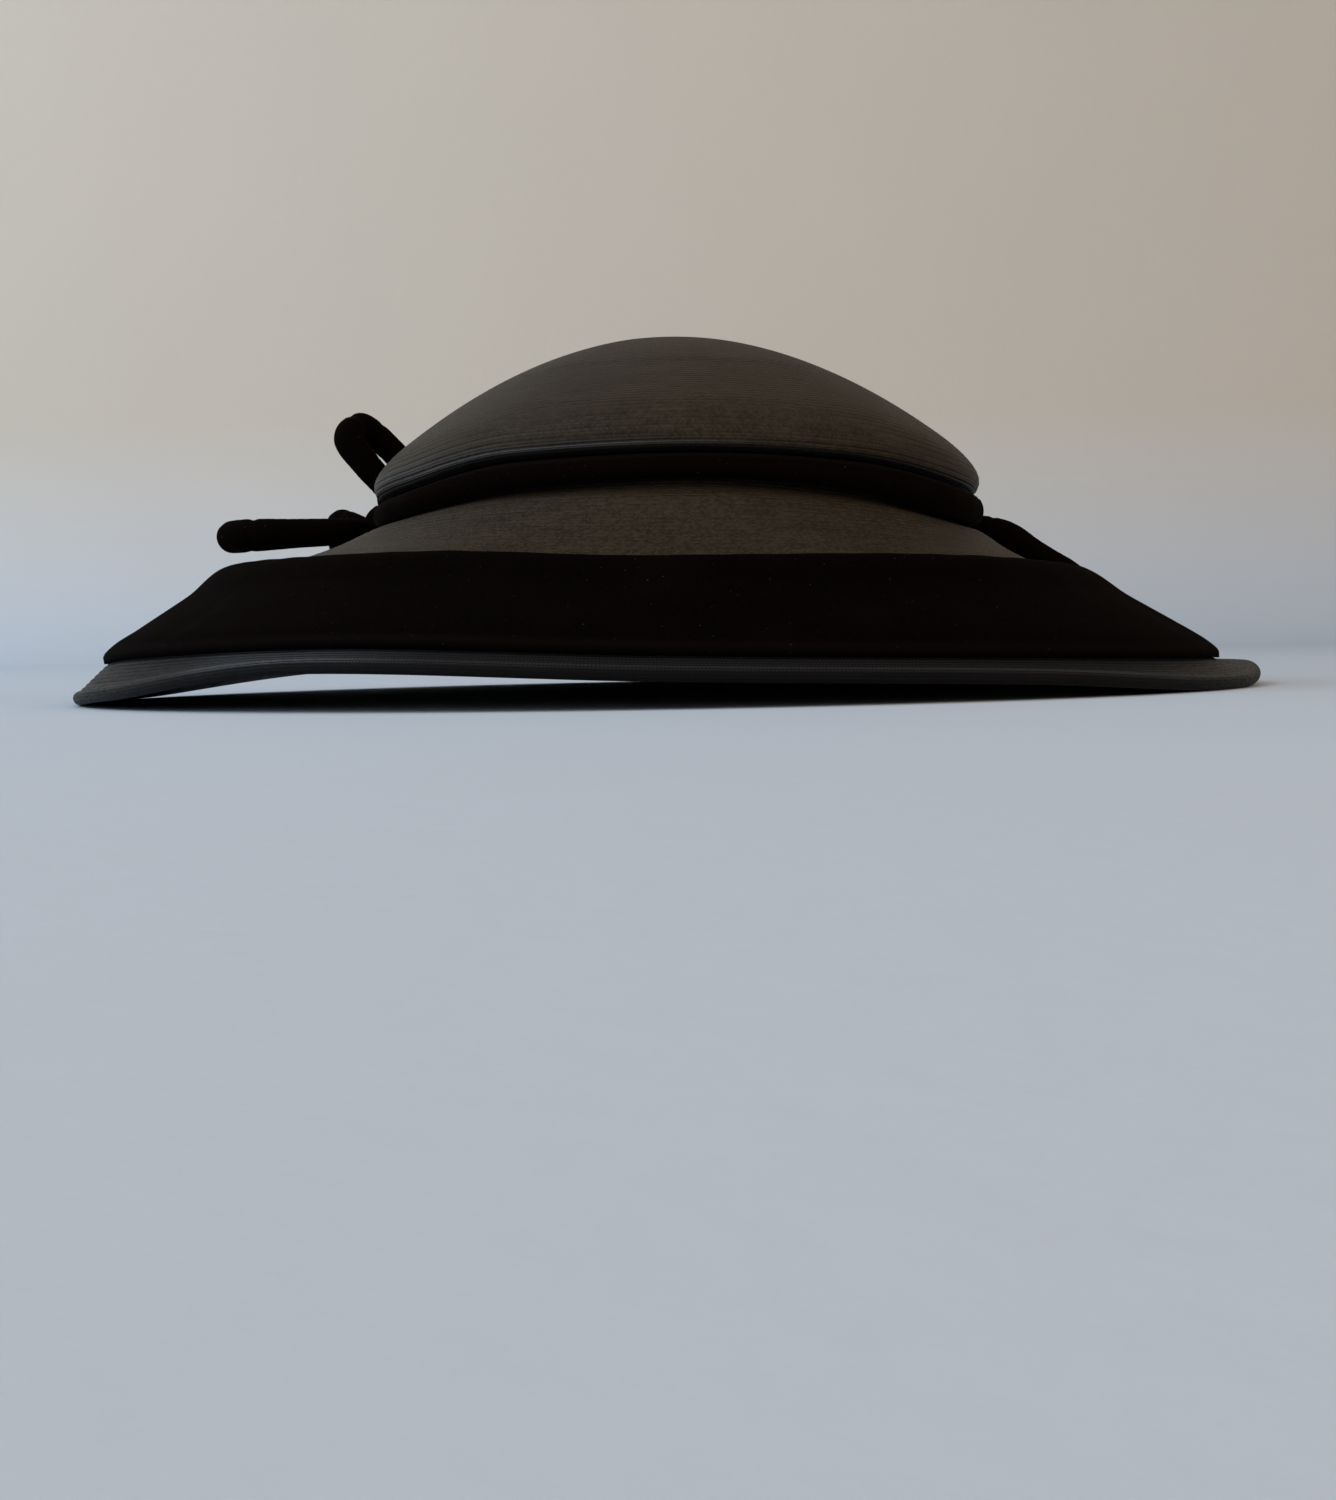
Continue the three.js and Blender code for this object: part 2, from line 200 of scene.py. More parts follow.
def make_sweep():
    curve = SWEEP["curve"]
    profile = [(SWEEP["front"], 0.0)]
    for step in range(SWEEP["steps"] + 1):
        turn = math.radians(90 * step / SWEEP["steps"])
        y = SWEEP["wall"] - curve + curve * math.sin(turn)
        profile.append((y, curve - curve * math.cos(turn)))
    profile.append((SWEEP["wall"], SWEEP["height"]))
    half = SWEEP["half_width"]
    points = [(x, y, z) for y, z in profile for x in (-half, half)]
    faces = [(2 * i, 2 * i + 1, 2 * i + 3, 2 * i + 2) for i in range(len(profile) - 1)]
    mesh = bpy.data.meshes.new("pale_sweep")
    mesh.from_pydata(points, [], faces)
    mesh.shade_smooth()
    mesh.materials.append(make_plaster())
    sweep = bpy.data.objects.new("pale_sweep", mesh)
    bpy.context.scene.collection.objects.link(sweep)
    return len(faces)


sweep_strips = make_sweep()
print(f"the wall is {SWEEP['wall']:.2f} m behind the hat, and the sheet has {sweep_strips} strips")

# %% [markdown]
# Light: a tall cool window at the left and a little in front, a warm lamp at the right, a warm ceiling, a
# weak one from the room in front, and one that brightens the left of the wall. A picture of a room could
# light the hat at once, but large area lights are as soft and easier to place. The window reaches nearly
# down to the table, which helps the rolled edge of the crown to glint. The view transform is the plain one,
# so a dark straw comes out as the colour it is given.

# %% Lights
HAT_MIDDLE = (0, 0, 0.05)
WALL_LEFT = (-0.3, 1.4, 0.4)
COOL, PALE_BLUE = (0.76, 0.88, 1.0), (0.72, 0.87, 1.0)
WARM, WARM_WHITE = (1.0, 0.78, 0.55), (1.0, 0.86, 0.7)
LIGHTS = [
    # name, place, aim, width and height, power in watts, colour
    ("window", (-1.45, -0.85, 0.75), HAT_MIDDLE, (1.2, 1.4), 14.5, COOL),
    ("lamp", (1.4, -0.95, 0.9), HAT_MIDDLE, (1.1, 1.1), 10, WARM),
    ("ceiling", (-0.1, -0.2, 2.1), HAT_MIDDLE, (2.2, 1.8), 6.5, WARM_WHITE),
    ("room_front", (0.2, -1.7, 0.6), HAT_MIDDLE, (1.6, 1.0), 4.5, WARM_WHITE),
    ("wall_light", (-1.9, 0.35, 1.5), WALL_LEFT, (0.9, 1.2), 25, PALE_BLUE),
]
ROOM = {"colour": (0.96, 0.95, 0.93, 1), "strength": 0.2}


def make_light(name, place, aim, size, power, colour):
    data = bpy.data.lights.new(name, "AREA")
    data.shape = "RECTANGLE"
    data.size, data.size_y = size
    data.energy = power
    data.color = colour
    light = bpy.data.objects.new(name, data)
    light.location = place
    light.rotation_euler = (Vector(aim) - Vector(place)).to_track_quat("-Z", "Y").to_euler()
    bpy.context.scene.collection.objects.link(light)


def make_room():
    world = bpy.data.worlds.new("room")
    world.use_nodes = True
    background = world.node_tree.nodes["Background"]
    background.inputs["Color"].default_value = ROOM["colour"]
    background.inputs["Strength"].default_value = ROOM["strength"]
    bpy.context.scene.world = world
    bpy.context.scene.view_settings.view_transform = "Standard"


for light_row in LIGHTS:
    make_light(*light_row)
make_room()
print(f"{len(LIGHTS)} area lights and a dim room")

# %% [markdown]
# The brim isn't a flat disc: it dips and rises on its way round, and so do the bend in it and the crown's
# rolled edge. A hatter would measure those lines at a few places round the hat, so that is what this table
# is. Between its rows the height follows a smooth curve that is level at each peak and dip. A plain sine
# wave would be shorter, but the real edge rises at the left front much more steeply than elsewhere.

# %% Heights round the hat
# azimuth in degrees (0 is +X, 90 the back, 180 the bow, 270 the front), then heights in millimetres
RINGS = np.array([
    # azimuth, hem, border, ridge, foot, roll
    [0, 3.2, 6.8, 33.0, 49.0, 58.6],
    [36, 2.6, 7.6, 33.2, 48.0, 57.8],
    [72, 0.0, 8.2, 34.2, 47.0, 57.6],
    [78, 0.0, 8.6, 34.6, 47.0, 57.6],
    [126, 7.0, 11.0, 36.6, 48.0, 58.0],
    [168, 0.0, 11.2, 38.2, 51.0, 59.8],
    [186, 0.0, 11.0, 38.8, 51.8, 60.2],
    [210, 2.6, 13.2, 39.2, 54.2, 62.6],
    [240, 10.0, 15.4, 39.4, 58.1, 68.4],
    [270, 6.8, 12.4, 36.6, 59.2, 69.4],
    [300, 4.0, 10.0, 36.4, 56.1, 67.4],
    [330, 0.0, 8.0, 34.8, 50.6, 62.0],
    [336, 0.0, 7.8, 34.4, 50.0, 61.0],
])
COLUMN = {"hem": 1, "border": 2, "ridge": 3, "foot": 4, "roll": 5}


def ring_slopes(column):
    step = (np.roll(RINGS[:, 0], -1) - RINGS[:, 0]) % 360
    after = (np.roll(RINGS[:, column], -1) - RINGS[:, column]) / step
    before = np.roll(after, 1)
    product = before * after
    total = np.where(product > 0, before + after, 1)
    return np.where(product > 0, 2 * product / total, 0)


def cubic(t, start, end, leaving, arriving):
    """A smooth way from start to end, as t goes from 0 to 1, with the given slopes at its two ends."""
    curve = (2 * t**3 - 3 * t**2 + 1) * start
    curve = curve + (t**3 - 2 * t**2 + t) * leaving
    curve = curve + (3 * t**2 - 2 * t**3) * end
    return curve + (t**3 - t**2) * arriving


def ring_height(name, azimuth):
    """Height of a ring in metres at azimuths in degrees."""
    column = COLUMN[name]
    slopes = ring_slopes(column)
    turn = np.asarray(azimuth, float) % 360
    here = np.searchsorted(RINGS[:, 0], turn, side="right") - 1
    there = (here + 1) % len(RINGS)
    span = (RINGS[there, 0] - RINGS[here, 0]) % 360
    t = (turn - RINGS[here, 0]) / span
    start, end = RINGS[here, column], RINGS[there, column]
    return cubic(t, start, end, span * slopes[here], span * slopes[there]) * MM


for ring_name in COLUMN:
    heights = ring_height(ring_name, np.arange(0, 360, 3)) / MM
    print(f"{ring_name}: {heights.min():.1f} to {heights.max():.1f} mm above the ground")

# %% [markdown]
# Every piece here is a section swept round the hat or along a line, so one helper turns a grid of points
# into a mesh. Blender's Screw modifier could sweep a section, but it would be the same all the way round.
# The grid's first direction goes round, the second along. A piece that closes on itself, such as the brim,
# is joined in both directions; the crown and the bow's tubes end in a fan of triangles at each end.

# %% Sweep helpers


def around(steps):
    """Evenly spaced azimuths in degrees."""
    return np.arange(steps) * 360 / steps


def grid_faces(round_steps, rows, closed):
    i, j = np.meshgrid(np.arange(round_steps), np.arange(rows if closed else rows - 1), indexing="ij")
    after = (i + 1) % round_steps
    above = (j + 1) % rows
    corners = [i * rows + j, after * rows + j, after * rows + above, i * rows + above]
    return np.stack([c.ravel() for c in corners], axis=1)


def capped_faces(round_steps, rows):
    """The grid's faces, and fans to two more points: one before its first row, one after its last."""
    first = np.arange(round_steps) * rows
    last = first[::-1] + rows - 1
    faces = grid_faces(round_steps, rows, closed=False)
    fans = []
    for tip, ring in ((round_steps * rows, first), (round_steps * rows + 1, last)):
        fans.append(np.stack([np.full(round_steps, tip), np.roll(ring, -1), ring], axis=1))
    return faces, np.concatenate(fans)


def build(name, points, faces, finish):
    """Makes a smooth-shaded object from arrays of points and faces, with the given finish."""
    mesh = bpy.data.meshes.new(name)
    mesh.from_pydata(points.tolist(), [], [list(face) for face in faces])
    mesh.shade_smooth()
    mesh.materials.append(finish)
    made = bpy.data.objects.new(name, mesh)
    bpy.context.scene.collection.objects.link(made)
    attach(made, "root")
    return made


def face_out(made):
    """Turns the faces outwards if the closed mesh came out inside out."""
    volume = 0.0
    for polygon in made.data.polygons:
        volume += polygon.center.dot(polygon.normal) * polygon.area
    if volume < 0:
        made.data.flip_normals()


def measure(made):
    made.data.calc_loop_triangles()
    size = made.dimensions / MM
    count = len(made.data.loop_triangles)
    print(f"{made.name}: {size.x:.0f} x {size.y:.0f} x {size.z:.0f} mm, {count} triangles")


def give_paint(made, name, amounts):
    """Paints a value from 0 to 1 on every point, which the finish reads by its name."""
    attribute = made.data.attributes.new(name, "FLOAT", "POINT")
    attribute.data.foreach_set("value", np.asarray(amounts, np.float32))


print("sweep helpers ready")

# %% [markdown]
# Much on a hat comes and goes softly: a crease, the wear along an edge, the shine of one side. Painting it
# by hand would be quick once, but a script has to say it in numbers. `hump` is one soft rise, and
# `rise_and_fall` a stretch between two azimuths. A smooth curve through a few rings gives the brim and the
# bow their lines, without a corner anywhere.

# %% Curve helpers


def hump(places, middle, width, power=2):
    """A bell that is 1 at the middle; a higher power gives it a flatter top."""
    return np.exp(-np.abs((places - middle) / width) ** power)


def rise_and_fall(azimuth, start, full, fading, end):
    """1 between two azimuths, with an even slope to 0 on each side."""
    return np.interp(azimuth, (0, start, full, fading, end, 360), (0, 0, 1, 1, 0, 0))


def running_length(points):
    """Length along a line of points from its first one, or the mean length along the lines of a grid."""
    steps = np.linalg.norm(np.diff(points, axis=-2), axis=-1)
    if steps.ndim > 1:
        steps = steps.mean(axis=0)
    return np.concatenate([[0], np.cumsum(steps)])


def smooth_through(knots, values, wanted):
    """A smooth curve through values[..., knot, :] at the wanted places, without a corner at the knots."""
    step = np.diff(knots)
    rise = np.diff(values, axis=-2) / step[:, None]
    inner = (rise[..., :-1, :] * step[1:, None] + rise[..., 1:, :] * step[:-1, None])
    inner /= (step[1:] + step[:-1])[:, None]
    tangent = np.concatenate([rise[..., :1, :], inner, rise[..., -1:, :]], axis=-2)
    here = np.clip(np.searchsorted(knots, wanted, side="right") - 1, 0, len(knots) - 2)
    span = step[here][:, None]
    t = ((wanted - knots[here]) / step[here])[:, None]
    leaving = span * tangent[..., here, :]
    arriving = span * tangent[..., here + 1, :]
    return cubic(t, values[..., here, :], values[..., here + 1, :], leaving, arriving)


def oval(across, along, middle, azimuth, height):
    turn = np.radians(azimuth)
    x = middle + across * np.cos(turn)
    y = along * np.sin(turn)
    return np.stack(np.broadcast_arrays(x, y, height), axis=-1)


def side_of(points):
    """Unit vectors square to a swept grid, pointing to the left of the section's direction."""
    down = np.gradient(points, axis=1)
    onwards = np.roll(points, -1, axis=0) - np.roll(points, 1, axis=0)
    square = np.cross(down, onwards)
    return square / np.linalg.norm(square, axis=-1, keepdims=True)


print(f"a hump is {hump(1.0, 0, 1.0):.2f} high one width from its middle")

# %% [markdown]
# The straw is plaited as fine as cloth: rows just under 2 mm wide run round the hat, and in each row the
# straws lean one way and then the other, like the grain of a herringbone cloth. The hat was dyed a brownish
# charcoal and varnished, and a glint is painted on the straws of the rolled edges. The rows are real relief
# in the meshes. A single straw is well under a millimetre wide, so it is a bump, worked out from the straw
# counts. Values painted on the points say where the straw is worn, where it is polished with a painted
# glint, where the dye is deepest, where a shade is painted under the roll, how dark the painted shade in
# the row crevices is, and where the rings are at which the weaver added straws.

# %% Plait of the straw
PINCH = 0.62
LEAN = 0.9
CREASE = {"width": 0.16, "lowest": 0.4}
STREAK = {"round": 0.03, "row_to_row": 7.31}


def half_waves(tree, value):
    """A row of arches, one for each whole number."""
    return calc(tree, "ABSOLUTE", calc(tree, "SINE", calc(tree, "MULTIPLY", value, math.pi)))


def cell_at(tree, x, y):
    node = add(tree, "ShaderNodeCombineXYZ")
    tree.links.new(x, node.inputs[0])
    tree.links.new(y, node.inputs[1])
    return node.outputs[0]


def plait(tree):
    """The plait's height, and two places for random tones: one for each straw, one along each row."""
    split = add(tree, "ShaderNodeSeparateXYZ")
    tree.links.new(add(tree, "ShaderNodeUVMap", uv_map="weave").outputs[0], split.inputs[0])
    round_hat, up_hat = split.outputs[0], split.outputs[1]

    # the straws lean one way below the middle of a row and the other way above it
    from_middle = calc(tree, "ABSOLUTE", calc(tree, "SUBTRACT", calc(tree, "FRACT", up_hat), 0.5))
    shifted = calc(tree, "MULTIPLY_ADD", from_middle, 2 * LEAN, round_hat)
    half_row = calc(tree, "FLOOR", calc(tree, "MULTIPLY", up_hat, 2.0))
    straw_place = cell_at(tree, calc(tree, "FLOOR", shifted), half_row)

    # a row bulges between its edges, has a crease along its middle, and is pinched between two straws
    crease = spread(tree, from_middle, 0.0, CREASE["width"], CREASE["lowest"], 1.0)
    pinched = calc(tree, "MULTIPLY_ADD", half_waves(tree, shifted), PINCH, 1 - PINCH)
    height = calc(tree, "MULTIPLY", calc(tree, "MULTIPLY", half_waves(tree, up_hat), crease), pinched)

    streak_round = calc(tree, "MULTIPLY", round_hat, STREAK["round"])
    streak_up = calc(tree, "MULTIPLY", calc(tree, "FLOOR", up_hat), STREAK["row_to_row"])
    return height, straw_place, cell_at(tree, streak_round, streak_up)


print(f"a straw shifts by {LEAN} of its width from the edge of a row to its middle")

# %% [markdown]
# Dyed straw is never one colour. Each straw and each row has its own tone, and the dye took unevenly over
# the whole hat, so three random tones are added up. One noise over everything would be less work, but it
# would run across the straws like a stain. The colours are mixed from the plain straw outwards: dye and
# painted shade under the roll, painted shade in the crevices, growth rings, wear, and polish with a painted
# glint.

# %% Straw finish
STRAW_COLOUR = (0.053, 0.041, 0.0285, 1)
STRAW_DARK = (0.0225, 0.0165, 0.011, 1)
STRAW_WORN = (0.058, 0.047, 0.036, 1)
# the border's own deeper dye; on the crown the same colour is a painted shade under the roll
STRAW_DYE_AND_SHADE = (0.0066, 0.0064, 0.0072, 1)
# painted glint: the pale blue-white given to the straws' backs where light glints on them
STRAW_PAINTED_GLINT = (0.21, 0.23, 0.275, 1)
# painted shade in the crevices between the rows, and the dark dashes at a growth ring
STRAW_CREVICE_SHADE_AND_DASH = (0.006, 0.0045, 0.0035, 1)
TONE = {"straw": 0.55, "row": 0.4, "dye": 0.35, "darkest": 0.3, "palest": 0.95}
PATCH_SCALE = {"dye": 14.0, "wear_and_sheen": 55.0}
ROUGHER = {"polish_and_glint": -0.14, "wear_and_sheen": 0.15, "dull_straw": 0.09, "shiny_straw": -0.07}
BEAD_DEPTH = 0.28 * MM


def dyed_colour(tree, place, height, straw_tone, row_tone):
    tone = calc(tree, "MULTIPLY", straw_tone, TONE["straw"])
    tone = calc(tree, "MULTIPLY_ADD", row_tone, TONE["row"], tone)
    tone = calc(tree, "MULTIPLY_ADD", noise_at(tree, place, PATCH_SCALE["dye"], 3.0), TONE["dye"], tone)
    share = spread(tree, tone, TONE["darkest"], TONE["palest"], 0.0, 1.0)
    colour = blend_colour(tree, share, STRAW_DARK, STRAW_COLOUR)
    # the border's deeper dye, painted shade under the crown's roll, and a darker inside of the crown
    colour = blend_colour(tree, painted(tree, "dye_and_shade"), colour, STRAW_DYE_AND_SHADE)
    # painted shade in the crevices between the rows; the rows value painted on the points sets how dark it
    # is
    crevice_shade = spread(tree, height, 0.0, 0.6, 0.9, 0.0)
    crevice_shade = calc(tree, "MULTIPLY", crevice_shade, spread(tree, row_tone, 0.3, 0.7, 0.95, 0.3))
    crevice_shade = calc(tree, "MULTIPLY", crevice_shade, painted(tree, "rows"))
    return blend_colour(tree, crevice_shade, colour, STRAW_CREVICE_SHADE_AND_DASH)


def make_straw(name, gloss, shine):
    material, tree, shader = new_finish(name)
    place = add(tree, "ShaderNodeTexCoord").outputs["Object"]
    height, straw_place, streak_place = plait(tree)
    raise_surface(tree, shader, height, BEAD_DEPTH, 1.0)
    straw_noise = add(tree, "ShaderNodeTexWhiteNoise", noise_dimensions="2D")
    tree.links.new(straw_place, straw_noise.inputs["Vector"])
    straw_tone = straw_noise.outputs[0]
    row_tone = noise_at(tree, streak_place, 1.0, 1.0)
    colour = dyed_colour(tree, place, height, straw_tone, row_tone)

    # at a growth ring two straws stand where one stood, and their crossings leave dark dashes
    dash = spread(tree, straw_tone, 0.35, 0.65, 0.0, 0.6)
    dash = calc(tree, "MULTIPLY", painted(tree, "growth"), dash)
    colour = blend_colour(tree, dash, colour, STRAW_CREVICE_SHADE_AND_DASH)

    # the varnish is rubbed thin along the edges, where the straw is paler and duller
    patchy = spread(tree, noise_at(tree, place, PATCH_SCALE["wear_and_sheen"], 4.0), 0.35, 0.65, 0.2, 1.0)
    worn = calc(tree, "MULTIPLY", painted(tree, "wear_and_sheen"), patchy)
    colour = blend_colour(tree, worn, colour, STRAW_WORN)

    # the straws on the rolled edges are polished smoother, and a pale blue-white painted glint lies on their
    # backs
    polish_and_glint = painted(tree, "polish_and_glint")
    glint_share = calc(tree, "MULTIPLY", polish_and_glint, spread(tree, height, 0.45, 0.9, 0.0, 1.0))
    colour = blend_colour(tree, glint_share, colour, STRAW_PAINTED_GLINT)
    tree.links.new(colour, shader.inputs["Base Color"])
    shiniest, dullest = gloss + ROUGHER["shiny_straw"], gloss + ROUGHER["dull_straw"]
    rough = spread(tree, straw_tone, 0.0, 1.0, shiniest, dullest)
    rough = calc(tree, "MULTIPLY_ADD", polish_and_glint, ROUGHER["polish_and_glint"], rough)
    rough = calc(tree, "MULTIPLY_ADD", worn, ROUGHER["wear_and_sheen"], rough)
    tree.links.new(rough, shader.inputs["Roughness"])
    shader.inputs["Specular IOR Level"].default_value = shine
    return material


straw_crown = make_straw("varnished_straw_crown", gloss=0.42, shine=0.05)
straw_brim = make_straw("varnished_straw_brim", gloss=0.45, shine=0.045)
print("straw finishes:", straw_crown.name, straw_brim.name)

# %% [markdown]
# The brim is one piece of straw with the crown's foot standing up inside it. From the foot it falls in a
# hollow curve to the ridge, bends, and falls straight to the border, where a wire is rolled into the hem.
# A flat disc could be bent with modifiers, but a table puts each bend where it was measured: it gives the
# rings of that section, and a smooth curve is drawn through them.

# %% Brim surface
# half-widths across and along and the ring's middle in mm, the two ring heights it mixes, share, rise in mm
BRIM = [
    (84.5, 88.8, 4.2, "foot", "foot", 0, 11.0),
    (84.6, 88.9, 4.2, "foot", "foot", 0, 4.6),
    (87.6, 92.0, 4.0, "foot", "foot", 0, 1.6),
    (96.0, 100.4, 3.3, "foot", "ridge", 0.1, 0),
    (105.0, 109.5, 2.0, "foot", "ridge", 0.43, 0),
    (117.0, 121.5, 0.0, "foot", "ridge", 0.76, 0),
    (127.0, 131.0, -1.8, "foot", "ridge", 0.96, 0),
    (131.5, 135.5, -2.4, "ridge", "border", 0, 0),
    (144.0, 148.0, -2.0, "ridge", "border", 0.31, 0),
    (160.0, 164.0, -1.6, "ridge", "border", 0.69, 0),
    (172.0, 176.0, -1.2, "ridge", "border", 1, 0),
    (177.4, 181.6, -0.6, "border", "hem", 0.5, 1.0),
    (180.6, 184.8, 0.0, "hem", "hem", 0, 4.0),
]
# rows of the table, counted from 0, between which the velvet lies
VELVET_START, VELVET_END = 6.0, 9.95


def brim_rings(azimuth):
    rings = []
    for across, along, middle, near, far, share, rise in BRIM:
        height = (1 - share) * ring_height(near, azimuth) + share * ring_height(far, azimuth)
        rings.append(oval(across * MM, along * MM, middle * MM, azimuth, height + rise * MM))
    return np.stack(rings, axis=1)


BRIM_KNOTS = running_length(brim_rings(np.arange(0, 360, 5.0)))


def brim_surface(azimuth, length):
    """Top of the brim's straw at azimuths, at lengths down the section from the top of the collar."""
    return smooth_through(BRIM_KNOTS, brim_rings(azimuth), length)


def length_at(row):
    return float(np.interp(row, np.arange(len(BRIM)), BRIM_KNOTS))


print(f"the brim is {BRIM_KNOTS[-1] / MM:.0f} mm from its collar to its wire, along the straw")

# %% [markdown]
# The rows of straw stand up about a tenth of a millimetre, and they stop where the velvet covers them. The
# rows of the border beyond the velvet are more than twice as high, and those of the inner slope are pressed
# flatter at the front and the back than at the sides. They could be bump alone, but then the brim's outline
# would be too smooth. The mesh is finest where the straw shows.

# %% Rows of straw
ROW = {"pitch": 1.8 * MM, "relief": 0.115 * MM}
BORDER_ROW = {"pitch": 1.7 * MM, "relief": 0.27 * MM}
STEPS_A_ROW = 5
FLATTEST = 0.4


def row_relief(length, row):
    """Height of the straw rows: rounded ridges with a crease between them."""
    return row["relief"] * (np.abs(np.sin(np.pi * length / row["pitch"])) - 0.5)


def crispness(azimuth):
    """How clearly the straw rows stand out: fully at the sides, less at the front and the back."""
    return FLATTEST + (1 - FLATTEST) * np.cos(np.radians(azimuth)) ** 2


def brim_stations():
    """Lengths down the section: the collar, the bare slope, the stretch under the velvet and the border."""
    start, covered, uncovered = length_at(1), length_at(VELVET_START + 0.35), length_at(VELVET_END - 0.1)
    collar = np.linspace(0, start, 4)[:-1]
    slope = np.arange(start, covered, ROW["pitch"] / STEPS_A_ROW)
    hidden = np.linspace(covered, uncovered, 14)[:-1]
    edge = BRIM_KNOTS[-1] - 0.16 * BORDER_ROW["pitch"]
    border = np.arange(uncovered, edge, BORDER_ROW["pitch"] / STEPS_A_ROW)
    return collar, slope, hidden, border


print("rows on the bare slope:", round(np.ptp(brim_stations()[1]) / ROW["pitch"]))

# %% [markdown]
# The hem is a round roll over the wire that ends in a turned-in lip on the underside. The underside is the
# top's own curve, one straw's thickness further in. A Solidify modifier would give the thickness too, but
# not the lip, so the whole section is one closed line of points, swept round.

# %% Brim section
BRIM_ROUND = 416
STRAW_THICK = 1.6 * MM
HEM_HALF = {"across": 182.8 * MM, "along": 187.0 * MM}
WIRE = {"radius": 2.05 * MM, "inset": 2.2 * MM, "from": 62, "to": -118, "steps": 15}
HEM = {"width": 5.5 * MM, "thick": 1.1 * MM, "sag": 0.2 * MM, "edge": 0.12, "half_way": 0.45, "tuck": 0.4}


def wire_roll(azimuth):
    """The hem's round roll from the last row of the top, over the wire and in under it."""
    low = ring_height("hem", azimuth)
    across = HEM_HALF["across"] - WIRE["inset"]
    along = HEM_HALF["along"] - WIRE["inset"]
    points = []
    for turn in np.radians(np.linspace(WIRE["from"], WIRE["to"], WIRE["steps"])):
        out = WIRE["radius"] * math.cos(turn)
        height = low + WIRE["radius"] * (1 + math.sin(turn))
        points.append(oval(across + out, along + out, 0, azimuth, height))
    return np.stack(points, axis=1)


def turned_lip(roll, below, side):
    """The folded-in edge of the hem, from the end of the roll to the underside."""
    start, under = roll[:, -1], below[:, 0]
    edge = under + (start - under) * HEM["edge"]
    return np.stack([
        start + (edge - start) * HEM["half_way"] - side * HEM["sag"],
        edge - side * HEM["thick"],
        edge - side * HEM["thick"] * HEM["half_way"] + (under - edge) * HEM["tuck"],
    ], axis=1)


def brim_section(azimuth):
    """The closed grid of points, how clear the rows are, and the ring at which each stretch begins."""
    stretches = brim_stations()
    lengths = np.concatenate(stretches)
    begins = np.cumsum([len(stretch) for stretch in stretches])
    at = dict(zip(("slope", "hidden", "border", "hem"), begins))
    smooth = brim_surface(azimuth, lengths)
    side = side_of(smooth)
    relief = np.zeros(len(lengths))
    relief[at["slope"]:at["hidden"]] = row_relief(stretches[1], ROW)
    relief[at["border"]:] = row_relief(stretches[3], BORDER_ROW)
    crisp = np.ones((len(azimuth), len(lengths)))
    crisp[:, :at["hidden"]] = crispness(azimuth)[:, None]
    top = smooth + side * (crisp * relief)[..., None]
    roll = wire_roll(azimuth)
    below = (smooth - side * STRAW_THICK)[:, ::-STEPS_A_ROW]
    from_roll = np.linalg.norm((below - roll[:, -1:])[..., :2], axis=-1).mean(axis=0)
    below = below[:, from_roll > HEM["width"]]
    lip = turned_lip(roll, below, side[:, at["border"] - 2])
    at["underside"] = at["hem"] + roll.shape[1] + lip.shape[1]
    return np.concatenate([top, roll, lip, below], axis=1), crisp, at


brim_grid, brim_crisp, brim_at = brim_section(around(BRIM_ROUND))
print("the brim's section has", brim_grid.shape[1], "rings of", brim_grid.shape[0], "points")

# %% [markdown]
# Each corner of a face gets its own place in the weave: how many straws round, and how many rows up. A UV
# unwrap could lay the straw flat, but it would cut and stretch the rows; counting them keeps them whole.
# Places for each corner, not each point, let the count of straws change in one step at a ring. The border
# is dyed deepest, and its straws are polished and given a painted glint, most on the last rows at the left
# front.

# %% Straw brim
STRAWS_ROUND = {"slope": 980, "border": 1140}
HEM_ROW_STEP = 0.45
BORDER_WEAR = 0.04
BORDER_GLINT = {"rows": 0.45, "last_rows": 1.0, "elsewhere": 0.24}
BORDER_GLINT_AZIMUTHS = (222, 230, 240, 250)


def paint_weave(made, faces, rows, round_steps, up_hat, straws, fan_corners=0):
    """Places in the weave; the corners of the fans at a crown's middle, if any, stay at its start."""
    column, row = faces[:, 0] // rows, faces[:, 0] % rows
    left, right = column / round_steps * straws, (column + 1) / round_steps * straws
    low, high = up_hat[row], up_hat[np.minimum(row + 1, rows - 1)]
    corners = np.stack([left, low, right, low, right, high, left, high], axis=1).ravel()
    layer = made.data.uv_layers.new(name="weave")
    layer.data.foreach_set("uv", np.pad(corners, (0, 2 * fan_corners)).astype(np.float32))


def rows_up_brim(section, at):
    """How many rows of straw lie below each ring of the section."""
    _, slope, _, border = brim_stations()
    up_hat = running_length(section) / ROW["pitch"]
    up_hat[at["slope"]:at["hidden"]] = slope / ROW["pitch"]
    up_hat[at["border"]:at["hem"]] = border / BORDER_ROW["pitch"]
    beyond = np.arange(len(up_hat) - at["hem"]) + 1
    up_hat[at["hem"]:] = up_hat[at["hem"] - 1] + beyond * HEM_ROW_STEP
    return up_hat


def ring_values(rows, *stretches):
    """One value for each ring of a section, from the stretches: first ring, ring past the last, value."""
    values = np.zeros(rows)
    for first, past, value in stretches:
        values[first:past] = value
    return values


